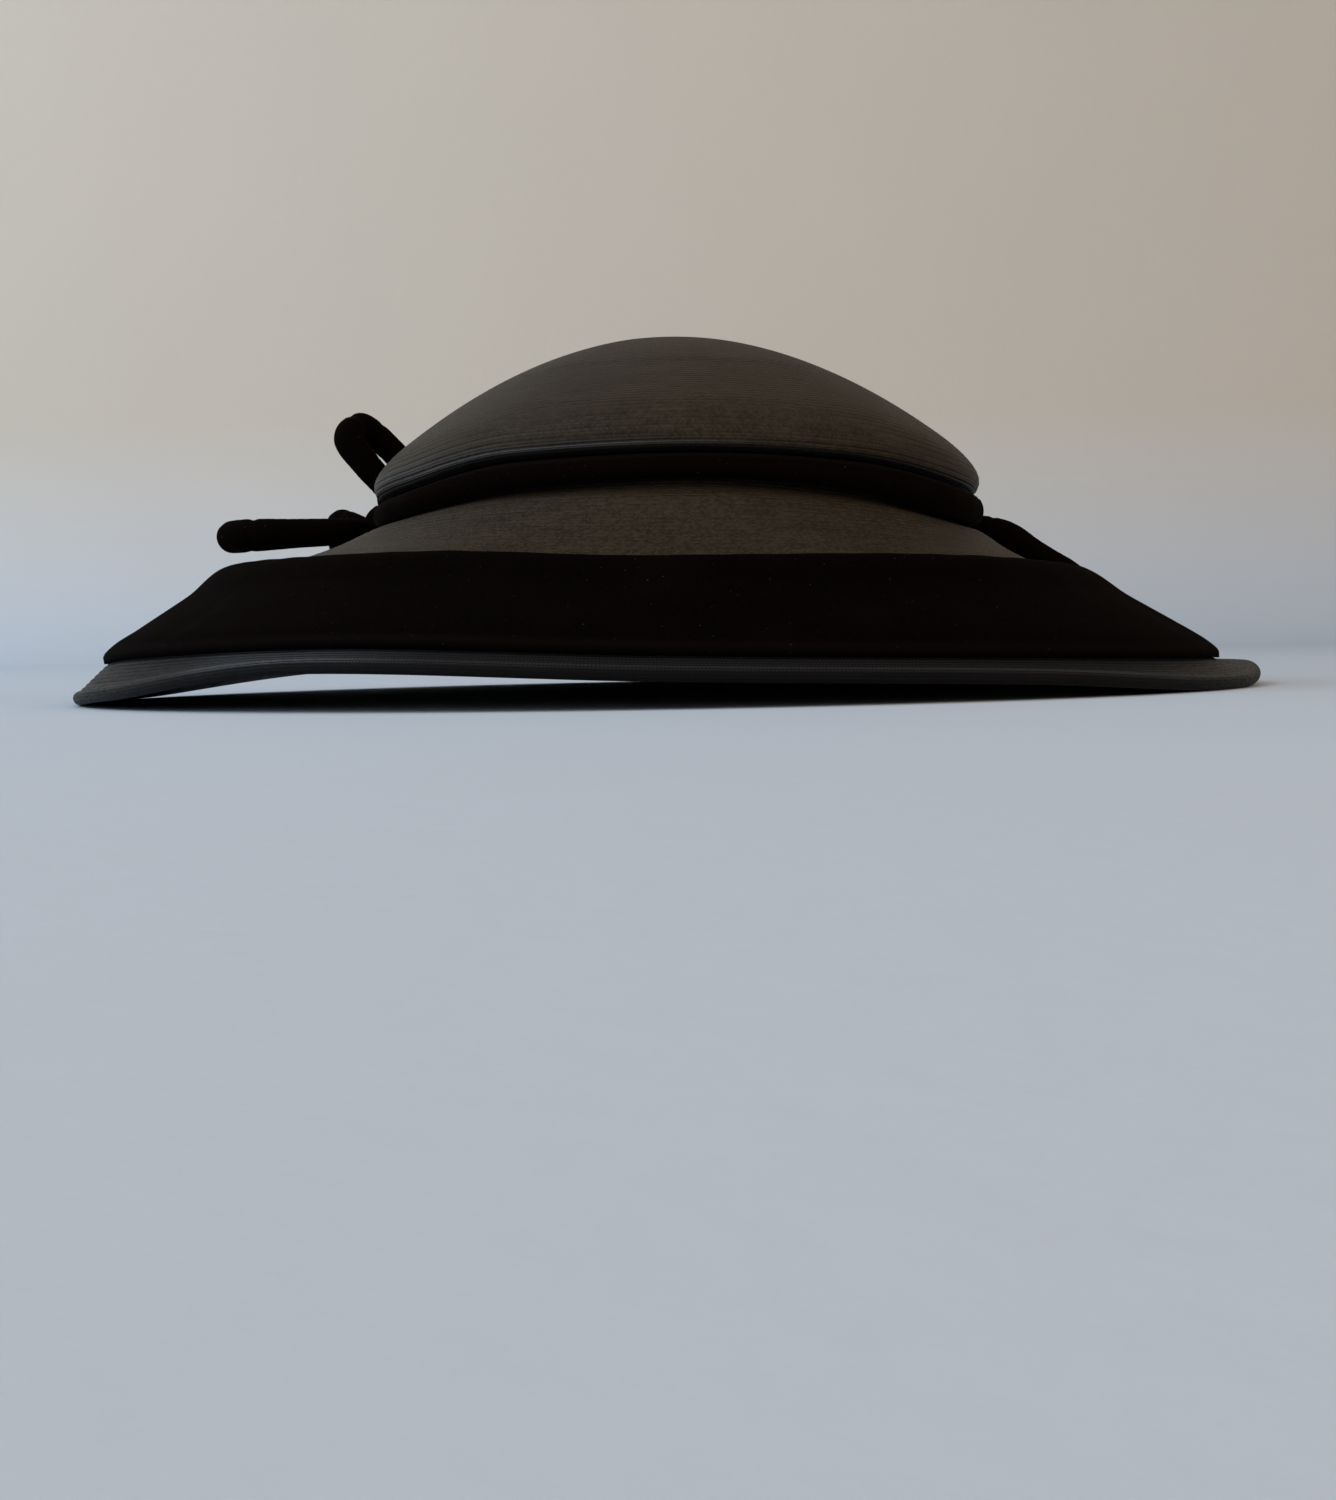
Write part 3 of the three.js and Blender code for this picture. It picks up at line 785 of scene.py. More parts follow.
def make_straw_brim(section, crisp, at):
    rows = section.shape[1]
    hem = at["hem"]
    azimuth = around(BRIM_ROUND)
    faces = grid_faces(BRIM_ROUND, rows, closed=True)
    made = build("straw_brim", section.reshape(-1, 3), faces, straw_brim)
    on_border = faces[:, 0] % rows >= at["border"]
    straws = np.where(on_border, STRAWS_ROUND["border"], STRAWS_ROUND["slope"])
    paint_weave(made, faces, rows, BRIM_ROUND, rows_up_brim(section, at), straws)
    wear_and_sheen = ring_values(rows, (hem - 2, hem + 7, BORDER_WEAR))
    give_paint(made, "wear_and_sheen", np.tile(wear_and_sheen, BRIM_ROUND))
    # the border, the wire's roll and the lip are dyed deeper: a colour of their own
    deep = ring_values(rows, (at["border"], at["underside"], 1))
    give_paint(made, "dye_and_shade", np.tile(deep, BRIM_ROUND))
    # how dark the painted shade in the row crevices is: weaker at the front and the back of the inner slope
    give_paint(made, "rows", np.pad(crisp, ((0, 0), (0, rows - hem)), mode="edge").ravel())
    # polish, with a painted glint on the crests of the border's straws: most on its last rows and at the
    # left front
    shine = ring_values(
        rows,
        (at["border"], hem + 3, BORDER_GLINT["rows"]),
        (hem - 5, hem + 3, BORDER_GLINT["last_rows"]),
    )
    least = BORDER_GLINT["elsewhere"]
    glint_round = least + (1 - least) * rise_and_fall(azimuth, *BORDER_GLINT_AZIMUTHS)
    give_paint(made, "polish_and_glint", np.outer(glint_round, shine).ravel())
    return made


brim_piece = make_straw_brim(brim_grid, brim_crisp, brim_at)
face_out(brim_piece)
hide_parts("brim")
measure(brim_piece)

# %% [markdown]
# The crown was blocked over a wooden form: a low dome, a shoulder, and a fat edge rolled under to the neck,
# which hides behind the band. The dome could be a squashed ball, but its top sits a little forward and it
# gets steeper faster than a ball does, so its profile is a power curve. Below the shoulder a curve takes
# over that starts as steep as the dome ends and is upright at the roll, the crown's widest line.

# %% Crown surface
APEX = {"x": 2.4 * MM, "y": -6 * MM, "z": 110 * MM}
DOME_POWER = 1.95
SHOULDER = {"across": 84 * MM, "along": 88 * MM, "above": 17.3 * MM}
CROWN_ROLL = {"across": 94.4 * MM, "along": 98.4 * MM, "above": 4.8 * MM}
NECK = {"across": 86.5 * MM, "along": 90.8 * MM, "corner_above": 0.5 * MM, "foot_above": 5.2 * MM}
CROWN_MIDDLE = 4.2 * MM
CORNER, BOTTOM = 3.3, 4.0
FINE_STEPS = 1600


def dome_point(u, azimuth, roll):
    height = APEX["z"] + (roll + SHOULDER["above"] - APEX["z"]) * u**DOME_POWER
    middle = APEX["x"] + (CROWN_MIDDLE - APEX["x"]) * u
    point = oval(SHOULDER["across"] * u, SHOULDER["along"] * u, middle, azimuth, height)
    point[:, 1] += APEX["y"] * (1 - u)
    return point


def roll_point(u, azimuth, roll):
    t = u - 1
    share = (1 - t) ** 2
    steepness = DOME_POWER * (APEX["z"] - roll - SHOULDER["above"]) / SHOULDER["across"]
    crossing = SHOULDER["above"] - steepness * (CROWN_ROLL["across"] - SHOULDER["across"])
    above = share * SHOULDER["above"] + 2 * t * (1 - t) * crossing + t**2 * CROWN_ROLL["above"]
    across = CROWN_ROLL["across"] + (SHOULDER["across"] - CROWN_ROLL["across"]) * share
    along = CROWN_ROLL["along"] + (SHOULDER["along"] - CROWN_ROLL["along"]) * share
    return oval(across, along, CROWN_MIDDLE, azimuth, roll + above)


def turned_under_point(u, azimuth, roll):
    turn = math.pi / 2 * (u - 2)
    inwards = CROWN_ROLL["above"] * (1 - math.cos(turn))
    height = roll + CROWN_ROLL["above"] * (1 - math.sin(turn))
    across = CROWN_ROLL["across"] - inwards
    return oval(across, CROWN_ROLL["along"] - inwards, CROWN_MIDDLE, azimuth, height)


def neck_point(u, azimuth, roll):
    inwards = min((u - 3) / (CORNER - 3), 1)
    down = max((u - CORNER) / (BOTTOM - CORNER), 0)
    start = CROWN_ROLL["across"] - CROWN_ROLL["above"]
    across = start + (NECK["across"] - start) * inwards
    start = CROWN_ROLL["along"] - CROWN_ROLL["above"]
    along = start + (NECK["along"] - start) * inwards
    corner = roll + NECK["corner_above"] * inwards
    foot = ring_height("foot", azimuth) + NECK["foot_above"]
    return oval(across, along, CROWN_MIDDLE, azimuth, corner + (foot - corner) * down)


def crown_point(u, azimuth):
    """Outside of the crown: u is 0 at the apex, 1 at the shoulder, 2 at the roll, 4 at the foot."""
    stretches = (dome_point, roll_point, turned_under_point, neck_point)
    stretch = stretches[min(max(math.ceil(u) - 1, 0), len(stretches) - 1)]
    return stretch(u, azimuth, ring_height("roll", azimuth))


def crown_surface(azimuth, places):
    return np.stack([crown_point(u, azimuth) for u in places], axis=1)


fine_places = np.linspace(0.0, BOTTOM, FINE_STEPS + 1)
CROWN_LENGTHS = running_length(crown_surface(np.arange(0, 360, 30.0), fine_places))
print(f"the straw runs {CROWN_LENGTHS[-1] / MM:.0f} mm from the apex to the foot of the neck")

# %% [markdown]
# The crown's outside has the same rows of straw as the brim, down to where it turns in to the neck. The
# inside is plainer and one straw's thickness further in. Both are one grid, from the middle of the top down
# the outside, under the neck and back up the inside. A half sphere could be sculpted to this, but its faces
# wouldn't follow the rows.

# %% Crown section
CROWN_ROUND = 276
NECK_RINGS = 10
INSIDE_RINGS = 26
INSIDE_SPACING = 4.2 * MM


def place_at(length):
    """The place u on the crown at a length down the straw from the apex."""
    return np.interp(length, CROWN_LENGTHS, fine_places)


def crown_section(azimuth):
    """The grid of points, and the lengths of the rings on the rows and of all those outside."""
    neck_start = np.interp(3.0, fine_places, CROWN_LENGTHS)
    shown = np.arange(ROW["pitch"] / 2, neck_start, ROW["pitch"] / STEPS_A_ROW)
    lengths = np.concatenate([shown, np.linspace(neck_start, CROWN_LENGTHS[-1], NECK_RINGS)])
    outside = crown_surface(azimuth, place_at(lengths))
    side = side_of(outside)
    up = np.sign(side[:, :20, 2].mean())
    relief = np.concatenate([row_relief(shown, ROW), np.zeros(NECK_RINGS)])
    outside = outside + side * up * (crispness(azimuth)[:, None] * relief)[..., None]
    inside = crown_surface(azimuth, place_at(np.linspace(0.02, 1, INSIDE_RINGS) * CROWN_LENGTHS[-1]))
    inside = inside - side_of(inside) * up * STRAW_THICK
    return np.concatenate([outside, inside[:, ::-1]], axis=1), shown, lengths


crown_grid, crown_shown, crown_lengths = crown_section(around(CROWN_ROUND))
print("the crown's section has", crown_grid.shape[1], "rings of", crown_grid.shape[0], "points")

# %% [markdown]
# A woven hood grows: wherever the rows get too long, the weaver doubles the number of straws. That leaves
# faint rings, and the widest one shows on the front of this crown as a line of little zigzags. The number
# of straws doubles here in the same way, each time the circle is twice as wide. The rows under the roll
# are darkened as a painted shade, and those of the roll get a painted glint at the front and the left.
# All this could be painted by hand in Blender, but humps and slopes along the section put it on the right
# row every time.

# %% Straw crown
STRAWS_AT_ROLL = 840
GROWTH_RADIUS = 61.5 * MM
GROWTH_ROWS = 1.1
# places on the crown: 2 is the roll's widest line, and at 3 it has turned in under it
ROLL_WEAR = {"place": 1.95, "width": 0.3, "most": 0.12}
# painted shade under the roll, and how much darker the crown's inside is
UNDER_ROLL_SHADE = {"place": 2.4, "soft": 0.12, "most": 0.9, "inside": 0.5}
# painted glints on the roll: a narrow line at the front, and a broad soft one at the left
GLINT = {"place": 2.28, "width": 0.12, "azimuths": (200, 222, 258, 290)}
SIDE_GLINT = {"place": 2.0, "width": 0.3, "most": 0.35, "azimuths": (175, 195, 215, 240)}


def straws_at(radius):
    halvings = np.ceil(np.log2(np.maximum(GROWTH_RADIUS / np.maximum(radius, 0.1 * MM), 1e-6)))
    return STRAWS_AT_ROLL / 2 ** np.clip(halvings, 0, 5)


def paint_crown(made, name, outside, inside=0.0):
    """Paints the outside ring by ring, the inside with one value, and the two middle points not at all."""
    every_way = np.broadcast_to(outside, (CROWN_ROUND, np.shape(outside)[-1]))
    whole = np.pad(every_way, ((0, 0), (0, INSIDE_RINGS)), constant_values=inside)
    give_paint(made, name, np.append(whole.ravel(), [0, 0]))


def crown_glint(azimuth, places):
    """Polish of the roll, with its painted glint: a narrow line at the front, and a broad soft one at the
    left.
    """
    front = rise_and_fall(azimuth, *GLINT["azimuths"])[:, None]
    left = rise_and_fall(azimuth, *SIDE_GLINT["azimuths"])[:, None] * SIDE_GLINT["most"]
    narrow = hump(places, GLINT["place"], GLINT["width"], power=4)
    broad = hump(places, SIDE_GLINT["place"], SIDE_GLINT["width"])
    return (front * narrow + left * broad).clip(0, 1)


def make_straw_crown(section, shown, lengths):
    azimuth = around(CROWN_ROUND)
    rows = section.shape[1]
    top = np.array([[APEX["x"], APEX["y"], APEX["z"]]])
    points = np.concatenate([section.reshape(-1, 3), top, top - [[0, 0, STRAW_THICK]]])
    faces, fans = capped_faces(CROWN_ROUND, rows)
    made = build("straw_crown", points, [*faces, *fans], straw_crown)

    inside = CROWN_LENGTHS[-1] + np.arange(1, INSIDE_RINGS + 1) * INSIDE_SPACING
    up_hat = np.concatenate([lengths, inside]) / ROW["pitch"]
    middle = section[..., :2].mean(axis=0)
    radius = np.linalg.norm(section[..., :2] - middle, axis=-1).mean(axis=0)
    straws = straws_at(radius[faces[:, 0] % rows])
    paint_weave(made, faces, rows, CROWN_ROUND, up_hat, straws, fan_corners=fans.size)

    places = place_at(lengths)
    growth_at = lengths[np.argmin(np.abs(radius[:len(shown)] - GROWTH_RADIUS))]
    # painted shade under the roll; the crown's inside is darker by half
    deep = np.clip((places - UNDER_ROLL_SHADE["place"]) / UNDER_ROLL_SHADE["soft"], 0, 1) * UNDER_ROLL_SHADE["most"]
    paint_crown(made, "wear_and_sheen", hump(places, ROLL_WEAR["place"], ROLL_WEAR["width"]) * ROLL_WEAR["most"])
    paint_crown(made, "dye_and_shade", deep, inside=UNDER_ROLL_SHADE["inside"])
    # polish, with a painted glint along the roll
    paint_crown(made, "polish_and_glint", crown_glint(azimuth, places))
    paint_crown(made, "growth", hump(lengths, growth_at, GROWTH_ROWS * ROW["pitch"]))
    # how dark the painted shade in the row crevices is: weaker at the front and the back
    give_paint(made, "rows", np.append(np.repeat(crispness(azimuth), rows), [1, 1]))
    return made


crown_piece = make_straw_crown(crown_grid, crown_shown, crown_lengths)
face_out(crown_piece)
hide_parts("crown")
measure(crown_piece)

# %% [markdown]
# Black silk velvet swallows light: only its pile's tips shine, and only where they are seen from the side.
# A hair system could make the pile, but it is too short to show. A nearly black base with a soft sheen
# gives the same look. The pile lies this way and that, so the tone changes in soft patches, the pile itself
# is a fine grain, and a few specks of lint lie on it. The turned-under edges of the brim's strip and the
# rouleau's seam are paler: a painted sheen. The rouleau's base is paler than the strip's, painted light for
# tubes that get less light than the upturned strip.

# %% Velvet finish
VELVET_BLACK = (0.0015, 0.0006, 0.0004, 1)
# the rouleau's base is painted paler than the strip's: painted light for tubes that get less light
ROULEAU_BLACK_PAINTED_PALER = (0.003, 0.0015, 0.0009, 1)
VELVET_BRUSHED = (0.0027, 0.0017, 0.0014, 1)
# painted sheen on the turned-under edges and on the rouleau's seam
VELVET_EDGE_SHEEN = (0.006, 0.0045, 0.004, 1)
LINT = (0.05, 0.048, 0.045, 1)
SHEEN_TINT = (0.62, 0.5, 0.43, 1)
VELVET_SCALE = {"nap": 45.0, "clumps": 620.0, "lint": 1150.0, "pile": 2600.0}
PILE_DEPTH = 0.35 * MM


def make_velvet(name, black, sheen):
    material, tree, shader = new_finish(name)
    place = add(tree, "ShaderNodeTexCoord").outputs["Object"]
    nap = noise_at(tree, place, VELVET_SCALE["nap"], 3.0)
    pile = noise_at(tree, place, VELVET_SCALE["pile"], 2.0)
    clumps = noise_at(tree, place, VELVET_SCALE["clumps"], 2.0)
    lint = noise_at(tree, place, VELVET_SCALE["lint"], 1.0)
    brushed = spread(tree, nap, 0.42, 0.68, 0.0, 0.7)
    speck = spread(tree, clumps, 0.5, 0.75, 0.0, 0.6)
    colour = blend_colour(tree, calc(tree, "MAXIMUM", brushed, speck), black, VELVET_BRUSHED)
    # painted sheen: the turned-under edges and the seam are paler
    colour = blend_colour(tree, painted(tree, "wear_and_sheen"), colour, VELVET_EDGE_SHEEN)
    colour = blend_colour(tree, spread(tree, lint, 0.77, 0.81, 0.0, 1.0), colour, LINT)
    tree.links.new(colour, shader.inputs["Base Color"])
    raise_surface(tree, shader, calc(tree, "MULTIPLY_ADD", clumps, 1.5, pile), PILE_DEPTH, 0.5)
    tree.links.new(spread(tree, nap, 0.3, 0.7, 0.85, 1.0), shader.inputs["Roughness"])
    shader.inputs["Specular IOR Level"].default_value = 0.01
    shader.inputs["Sheen Weight"].default_value = sheen
    shader.inputs["Sheen Roughness"].default_value = 0.3
    shader.inputs["Sheen Tint"].default_value = SHEEN_TINT
    return material


velvet_brim = make_velvet("black_velvet_brim", VELVET_BLACK, sheen=0.003)
# the rouleau's paler base is painted light, for tubes that get less light than the upturned brim
velvet_rouleau = make_velvet("black_velvet_rouleau", ROULEAU_BLACK_PAINTED_PALER, sheen=0.025)
print("velvet finishes:", velvet_brim.name, velvet_rouleau.name)

# %% [markdown]
# The velvet on the brim is a bias strip about 55 mm wide, joined into a ring and stretched over the ridge.
# Its long edges are turned under, so they are thick and round; the outer edge is the fattest. It could be
# draped by simulation, but it is stretched tight on the straw, so it is made as the straw's own surface,
# raised by the velvet's thickness, with slight pulls where it is sewn down.

# %% Velvet brim band
# rows of the brim's table and the velvet's thickness there in mm
VELVET = [(6.0, 1.6), (6.5, 2.4), (7.0, 2.6), (8.0, 2.4), (9.0, 2.7), (9.6, 3.5), (9.95, 2.5)]
VELVET_ROUND = 480
VELVET_ROWS = 56
SEWN_GAP = 0.3 * MM
EDGE = {"inner": 1.5 * MM, "outer": 2.6 * MM, "thinnest": 0.25}
RIPPLE = {"slow": 0.12 * MM, "quick": 0.035 * MM}
PULL = {"depth": 0.22 * MM, "every": 7.5}


def smooth_noise(seed, azimuth, waves):
    """A gentle random wave round the hat, between about -1 and 1, the same on every run."""
    random = np.random.default_rng(seed)
    total = np.zeros(len(azimuth))
    for wave in waves:
        total += random.normal() * np.cos(np.radians(azimuth) * wave + random.uniform(0, 2 * math.pi))
    return total / math.sqrt(len(waves))


def rounded_edge(from_edge, radius):
    """0 at an edge and 1 from one radius inwards, on a quarter of a circle."""
    return np.sqrt(1 - (1 - from_edge / radius).clip(0, 1) ** 2)


def velvet_thickness(lengths):
    rows_of_table, thick = np.array(VELVET).T
    heights = np.interp(lengths, [length_at(row) for row in rows_of_table], thick) * MM
    return np.convolve(np.pad(heights, 3, mode="edge"), np.ones(7) / 7, mode="valid")


def velvet_ripple(azimuth, share):
    """Slow and quick waves over the strip, and the pulls of the stitches near its two edges."""
    slow = smooth_noise(11, azimuth, range(5, 19))[:, None] * np.sin(np.pi * share)[None, :]
    quick = smooth_noise(12, azimuth, range(30, 60))[:, None]
    stitches = np.radians(azimuth) * 360 / PULL["every"] + 1.5 * smooth_noise(13, azimuth, range(2, 9))
    pulls = 0.5 + 0.5 * np.cos(stitches)[:, None]
    near_edge = hump(share, 0.07, 0.06) + hump(share, 0.9, 0.07)
    return RIPPLE["slow"] * slow + RIPPLE["quick"] * quick - PULL["depth"] * pulls * 0.5 * near_edge


def make_velvet_band():
    azimuth = around(VELVET_ROUND)
    start, end = length_at(VELVET_START), length_at(VELVET_END)
    share = np.linspace(0, 1, VELVET_ROWS)
    lengths = start + (end - start) * share
    under = brim_surface(azimuth, lengths)
    side = side_of(under)
    inner = rounded_edge(lengths - start, EDGE["inner"])
    outer = rounded_edge(end - lengths, EDGE["outer"])
    thin, swell = EDGE["thinnest"], 1 - EDGE["thinnest"]
    heights = velvet_thickness(lengths) * (thin + swell * inner) * (thin + swell * outer)
    lift = SEWN_GAP + heights + velvet_ripple(azimuth, share) * inner * outer
    over = under + side * lift[..., None]
    under = under + side * SEWN_GAP
    section = np.concatenate([over, under[:, ::-1][:, 2:-2:4]], axis=1)
    rows = section.shape[1]
    faces = grid_faces(VELVET_ROUND, rows, closed=True)
    made = build("velvet_brim_band", section.reshape(-1, 3), faces, velvet_brim)
    # painted sheen along the turned-under edges, most on the outer one
    edge_sheen = hump(share, 0.97, 0.035) * 0.5 + hump(share, 0, 0.02) * 0.4
    give_paint(made, "wear_and_sheen", np.tile(np.pad(edge_sheen, (0, rows - VELVET_ROWS)), VELVET_ROUND))
    ring = running_length(over[:, VELVET_ROWS // 2])[-1]
    strip = running_length(over[0])[-1]
    return made, float(ring), float(strip)


velvet_piece, strip_length, strip_width = make_velvet_band()
face_out(velvet_piece)
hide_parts("brim_velvet_band")
measure(velvet_piece)
print(f"the velvet strip is {strip_length / MM:.0f} x {strip_width / MM:.0f} mm")

# %% [markdown]
# The band round the crown is a rouleau: a velvet tube over a soft cord, squeezed into the groove between
# the roll and the brim. A curve with a round bevel would be a tube at once, but with one section all round.
# This one is an oval that fills the groove, apart from a gap under it that is wider at the front. A raised
# seam runs along its upper side, and the tube's ends meet in a small crease at the right front.

# %% Crown band
BAND = {"across": 91.5 * MM, "along": 95.8 * MM, "middle": 4.6 * MM, "deep": 4.1 * MM}
BAND_CLEAR = {"below": 1.0 * MM, "above": 0.4 * MM, "front": 1.3 * MM}
BAND_FRONT = (225, 265, 295, 325)
BAND_ROUND, BAND_SIDES = 540, 40
BAND_SEAM = {"turn": 48.0, "raise": 0.32 * MM, "slope": 16.0, "drop": 4.0}
BAND_JOIN = {"azimuth": 346.0, "depth": 0.55 * MM, "width": 1.1}
BAND_WOBBLE = 0.14 * MM
BAND_TRIM = {"out": 0.1 * MM, "up": 0.15 * MM, "flatter": 0.6}


def seam_rise(turn):
    """Height of the seam at a turn round the tube: a long slope up to it, and a short drop past it."""
    step = (turn - BAND_SEAM["turn"] + 180) % 360 - 180
    if step > 0:
        return BAND_SEAM["raise"] * math.exp(-step / BAND_SEAM["drop"])
    return BAND_SEAM["raise"] * hump(step, 0, BAND_SEAM["slope"])


def make_crown_band():
    azimuth = around(BAND_ROUND)
    low = ring_height("foot", azimuth) + BAND_CLEAR["below"]
    low = low + BAND_CLEAR["front"] * rise_and_fall(azimuth, *BAND_FRONT)
    high = ring_height("roll", azimuth) - BAND_CLEAR["above"]
    middle, half = (low + high) / 2, (high - low) / 2
    wobble = BAND_WOBBLE * smooth_noise(21, azimuth, range(8, 40))
    from_join = (azimuth - BAND_JOIN["azimuth"] + 180) % 360 - 180
    join = BAND_JOIN["depth"] * hump(from_join, 0, BAND_JOIN["width"])
    turns = around(BAND_SIDES)
    loops = []
    for turn in turns:
        side = math.cos(math.radians(turn))
        outside = max(side, 0)
        puff = wobble * outside - join * outside ** 0.5 + seam_rise(turn) - BAND_TRIM["out"]
        out = (BAND["deep"] + puff) * side
        tall = half + puff * BAND_TRIM["flatter"] - BAND_TRIM["up"]
        height = middle + tall * math.sin(math.radians(turn))
        loops.append(oval(BAND["across"] + out, BAND["along"] + out, BAND["middle"], azimuth, height))
    section = np.stack(loops, axis=1)
    faces = grid_faces(BAND_ROUND, BAND_SIDES, closed=True)
    made = build("velvet_crown_band", section.reshape(-1, 3), faces, velvet_rouleau)
    # painted sheen along the fold of the seam
    seam_sheen = hump((turns - BAND_SEAM["turn"] + 3) % 360, 0, 9) * 0.55
    give_paint(made, "wear_and_sheen", np.tile(seam_sheen, BAND_ROUND))
    return made


band_piece = make_crown_band()
face_out(band_piece)
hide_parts("crown_band")
measure(band_piece)

# %% [markdown]
# The bow is tied from the same rouleau: a knot, one loop that stands up, one that lies out to the left, a
# short tail behind, and the band's free end, which lies on the slope at the right. Each is a tube along a
# smooth line through a few points. It could be tied by simulation, but then it would fall as it likes, and
# this one has to lie as the photograph shows.

# %% Lines of the bow
# points of each middle line and the tube's half-thickness there, in millimetres
BOW = {
    "bow_knot": [
        (-91.4, 29.3, 50.2, 3.8), (-91.9, 29.6, 52.6, 5.2), (-92.4, 29.8, 55.4, 5.3),
        (-91.7, 29.4, 58.4, 4.5), (-91.1, 29.3, 60.4, 3.1),
    ],
    "bow_loop_upper": [
        (-90.4, 33.0, 62.0, 2.8), (-90.6, 35.4, 67.2, 4.1), (-96.7, 33.0, 75.3, 4.6),
        (-102.4, 34.0, 83.8, 4.9), (-99.2, 40.6, 88.2, 4.7), (-92.0, 46.5, 82.9, 4.3),
        (-86.2, 50.5, 75.2, 4.2), (-86.4, 49.5, 65.5, 4.1), (-89.4, 43.6, 59.0, 3.6),
        (-92.2, 38.1, 56.7, 3.0),
    ],
    "bow_loop_left": [
        (-97.7, 26.2, 54.6, 2.9), (-105.6, 21.6, 53.4, 4.1), (-119.0, 18.6, 53.2, 4.3),
        (-132.5, 18.0, 53.0, 4.7), (-139.6, 24.4, 52.2, 5.2), (-132.5, 30.6, 52.4, 4.8),
        (-120.0, 31.6, 52.8, 4.3), (-107.6, 32.0, 53.2, 3.9), (-98.9, 32.4, 54.1, 2.7),
    ],
    "bow_tail_back": [
        (-94.8, 36.1, 54.0, 2.6), (-101.2, 41.2, 55.8, 3.8), (-107.0, 48.0, 57.2, 4.4),
        (-109.0, 57.0, 55.0, 4.4), (-109.4, 66.0, 50.0, 4.3), (-109.4, 74.0, 45.4, 4.0),
    ],
    "band_tail": [
        (97.7, 33.2, 49.8, 3.4), (101.7, 24.1, 49.9, 4.9), (109.6, 17.5, 47.3, 5.3),
        (117.5, 15.0, 42.5, 4.6), (123.5, 15.0, 40.1, 3.4), (130.0, 16.5, 37.7, 2.1),
        (134.5, 18.0, 34.6, 1.9),
    ],
}
BOW_STEP = 0.45 * MM
LINE_STEPS = 400


def smooth_line(rows):
    """Evenly spaced points and half-thicknesses on a smooth curve through the rows."""
    table = np.array(rows) * MM
    chords = np.linalg.norm(np.diff(table[:, :3], axis=0), axis=1)
    knots = np.concatenate([[0], np.cumsum(np.sqrt(chords))])
    dense = smooth_through(knots, table, np.linspace(0, knots[-1], LINE_STEPS))
    run = running_length(dense[:, :3])
    even = np.linspace(0, run[-1], int(run[-1] / BOW_STEP))
    return np.stack([np.interp(even, run, dense[:, k]) for k in range(4)], axis=1)


def carried_frames(line):
    """Directions along and across a line, turned as little as possible from point to point."""
    ahead = np.gradient(line, axis=0)
    ahead /= np.linalg.norm(ahead, axis=1, keepdims=True)
    across = np.cross(ahead[0], (0, 0, 1.0))
    if np.linalg.norm(across) < 0.2:
        across = np.cross(ahead[0], (0, 1.0, 0))
    frames = []
    for direction in ahead:
        across = across - direction * across.dot(direction)
        across /= np.linalg.norm(across)
        frames.append(across)
    across = np.array(frames)
    return ahead, across, np.cross(ahead, across)


for piece_name, piece_rows in BOW.items():
    print(f"{piece_name}: {len(smooth_line(piece_rows)) * BOW_STEP / MM:.0f} mm of rouleau")

# %% [markdown]
# Velvet that bends tightly folds on the inside of the bend, so the tubes have creases there, deepest where
# the bend is tightest, a few sharp folds all round, a seam along them and soft lumps of padding. A bump in
# the finish could show the creases, but not in the outline, which is where a black bow is seen.

# %% Bow
# sharp folds all round a tube: how far along it they are, and how deep in millimetres
FOLDS = {
    "bow_loop_upper": [(0.40, 0.8), (0.5, 0.25)],
    "bow_loop_left": [(0.395, 0.5), (0.60, 0.3)],
    "bow_tail_back": [(0.3, 0.4)],
    "band_tail": [(0.3, 0.35)],
}
FOLD_WIDTH = 1.1 * MM
CREASES = {"from_end": 3 * MM, "in_bend": 0.6 * MM, "everywhere": 0.05 * MM, "tightest": 0.75}
BOW_SEAM = {"turn": 4.1, "depth": 0.22 * MM, "width": 0.09}
LUMPS = {"height": 0.07 * MM, "reach": 41}
BOW_SIDES = 36
CAP_SHARE = 0.35
CAP_STEPS = (0.35, 0.65, 0.87)


def soft_creases(random, run):
    """Small creases at uneven places along the tube."""
    creases = np.zeros(len(run))
    place = CREASES["from_end"]
    while place < run[-1] - CREASES["from_end"]:
        width = random.uniform(0.5, 0.9) * MM
        creases += random.uniform(0.5, 1.0) * hump(run, place, width)
        place += random.uniform(2.2, 4.6) * MM
    return creases


def sharp_folds(name, run):
    folds = np.zeros(len(run))
    for share, depth in FOLDS.get(name, []):
        folds += depth * MM * hump(run, share * run[-1], FOLD_WIDTH)
    return folds


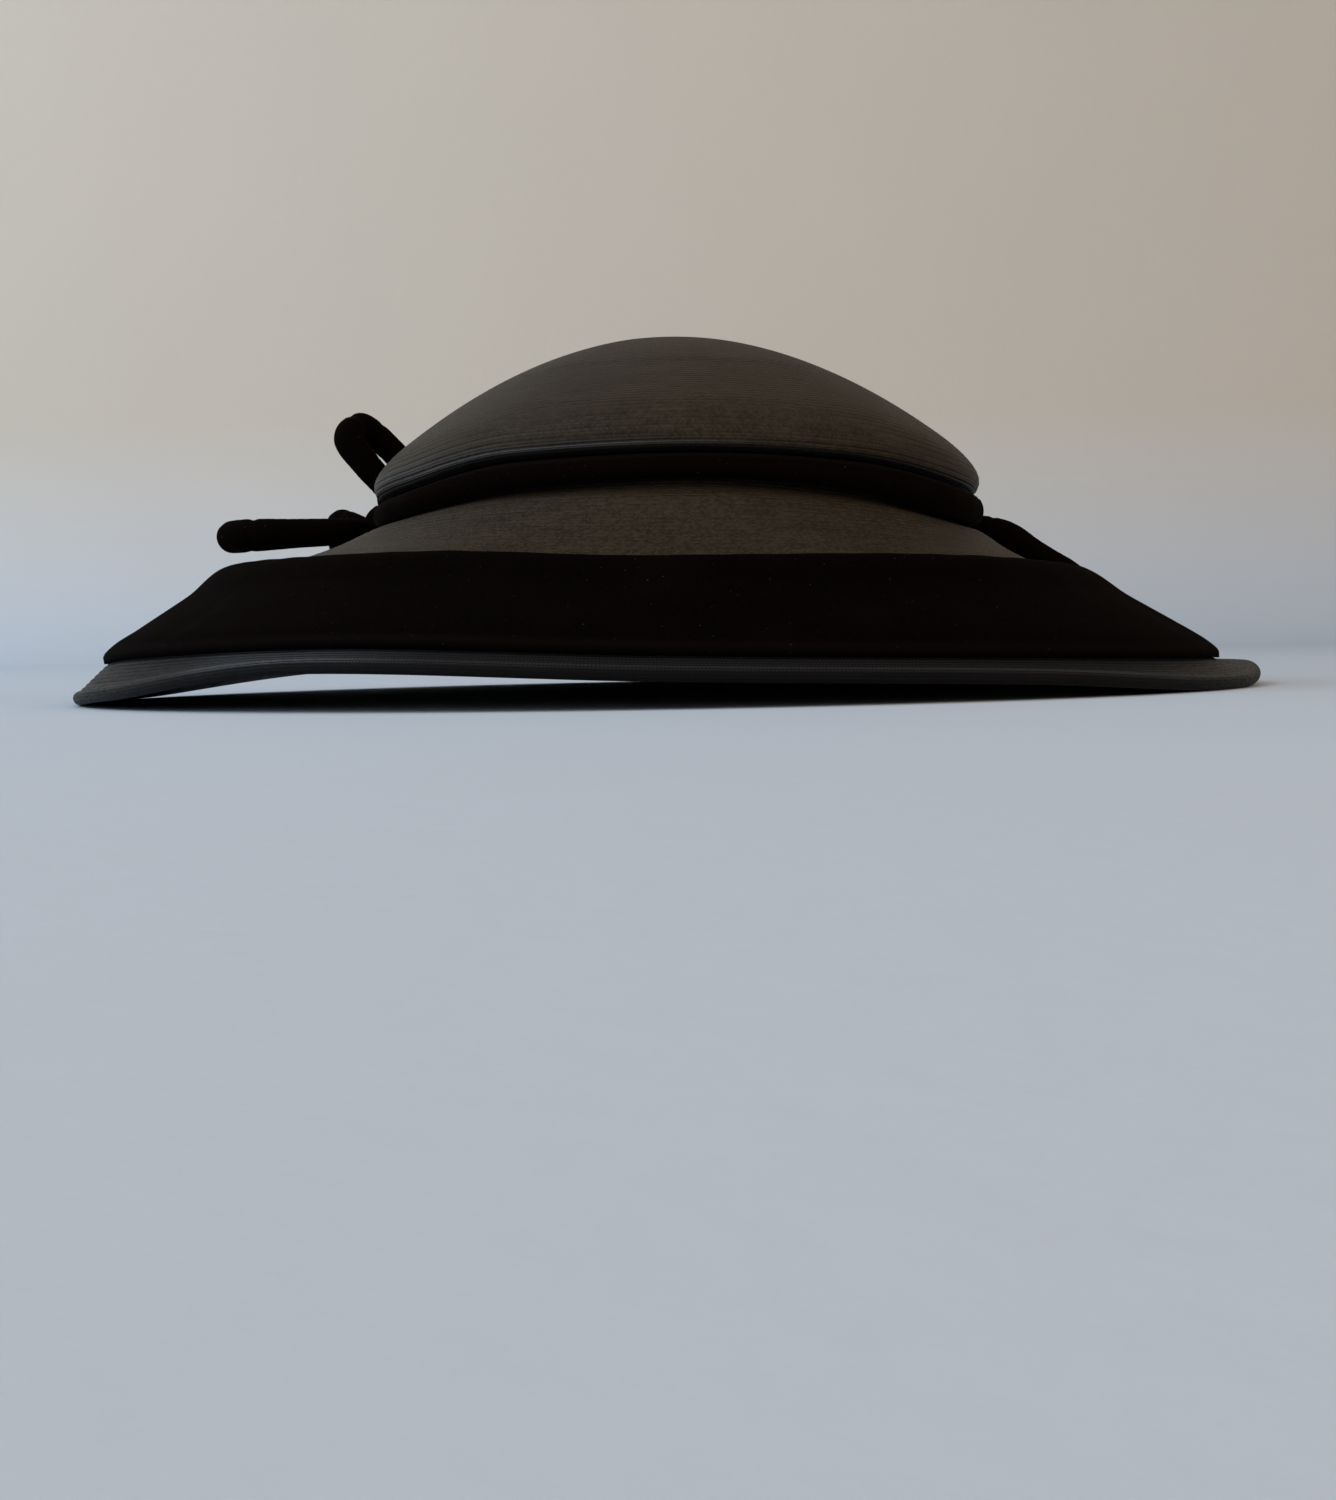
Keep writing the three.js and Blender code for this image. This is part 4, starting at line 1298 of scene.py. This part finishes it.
def tube_sides(name, line, half, frames, seed):
    """The tube's surface: one line of points for each of its sides."""
    ahead, across, upward = frames
    bend = np.gradient(ahead, axis=0) / BOW_STEP
    tightness = np.linalg.norm(bend, axis=1)
    random = np.random.default_rng(seed)
    run = np.arange(len(line)) * BOW_STEP
    creases = soft_creases(random, run)
    folds = sharp_folds(name, run)
    noise = random.normal(size=len(line) + LUMPS["reach"] - 1)
    slow = np.convolve(noise, np.hanning(LUMPS["reach"]) / 8, mode="valid")
    sides = []
    for turn in np.arange(BOW_SIDES) * 2 * math.pi / BOW_SIDES:
        side = across * math.cos(turn) + upward * math.sin(turn)
        inward = np.clip(np.einsum("ij,ij->i", side, bend) / np.maximum(tightness, 1e-9), 0, 1)
        depth = np.clip(tightness * half, 0, CREASES["tightest"]) * inward ** 2
        groove = (CREASES["in_bend"] * depth + CREASES["everywhere"]) * creases
        seam = BOW_SEAM["depth"] * hump(turn, BOW_SEAM["turn"], BOW_SEAM["width"])
        lumps = LUMPS["height"] * slow * math.cos(turn * 2 + seed)
        radius = half - groove + lumps - seam - folds
        sides.append(line + side * radius[:, None])
    return np.stack(sides)


def rounded_end(ring, middle, outwards):
    """Shrinking rings that round off the end of a tube, and the point at its tip."""
    rings = [middle + (ring - middle) * math.sqrt(1 - s**2) + outwards * s for s in CAP_STEPS]
    return np.stack(rings, axis=1), middle + outwards


def make_rouleau(name, rows, seed):
    points = smooth_line(rows)
    line, half = points[:, :3], points[:, 3]
    frames = carried_frames(line)
    ahead = frames[0]
    tube = tube_sides(name, line, half, frames, seed)
    before, start_tip = rounded_end(tube[:, 0], line[0], -ahead[0] * CAP_SHARE * half[0])
    beyond, end_tip = rounded_end(tube[:, -1], line[-1], ahead[-1] * CAP_SHARE * half[-1])
    tube = np.concatenate([before[:, ::-1], tube, beyond], axis=1)
    points = np.concatenate([tube.reshape(-1, 3), [start_tip, end_tip]])
    faces, fans = capped_faces(BOW_SIDES, tube.shape[1])
    made = build("velvet_" + name, points, [*faces, *fans], velvet_rouleau)
    give_paint(made, "wear_and_sheen", np.zeros(len(points)))
    face_out(made)
    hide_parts(name)
    measure(made)


for number, (piece_name, piece_rows) in enumerate(BOW.items()):
    make_rouleau(piece_name, piece_rows, 40 + number)
print("bow pieces:", len(BOW))
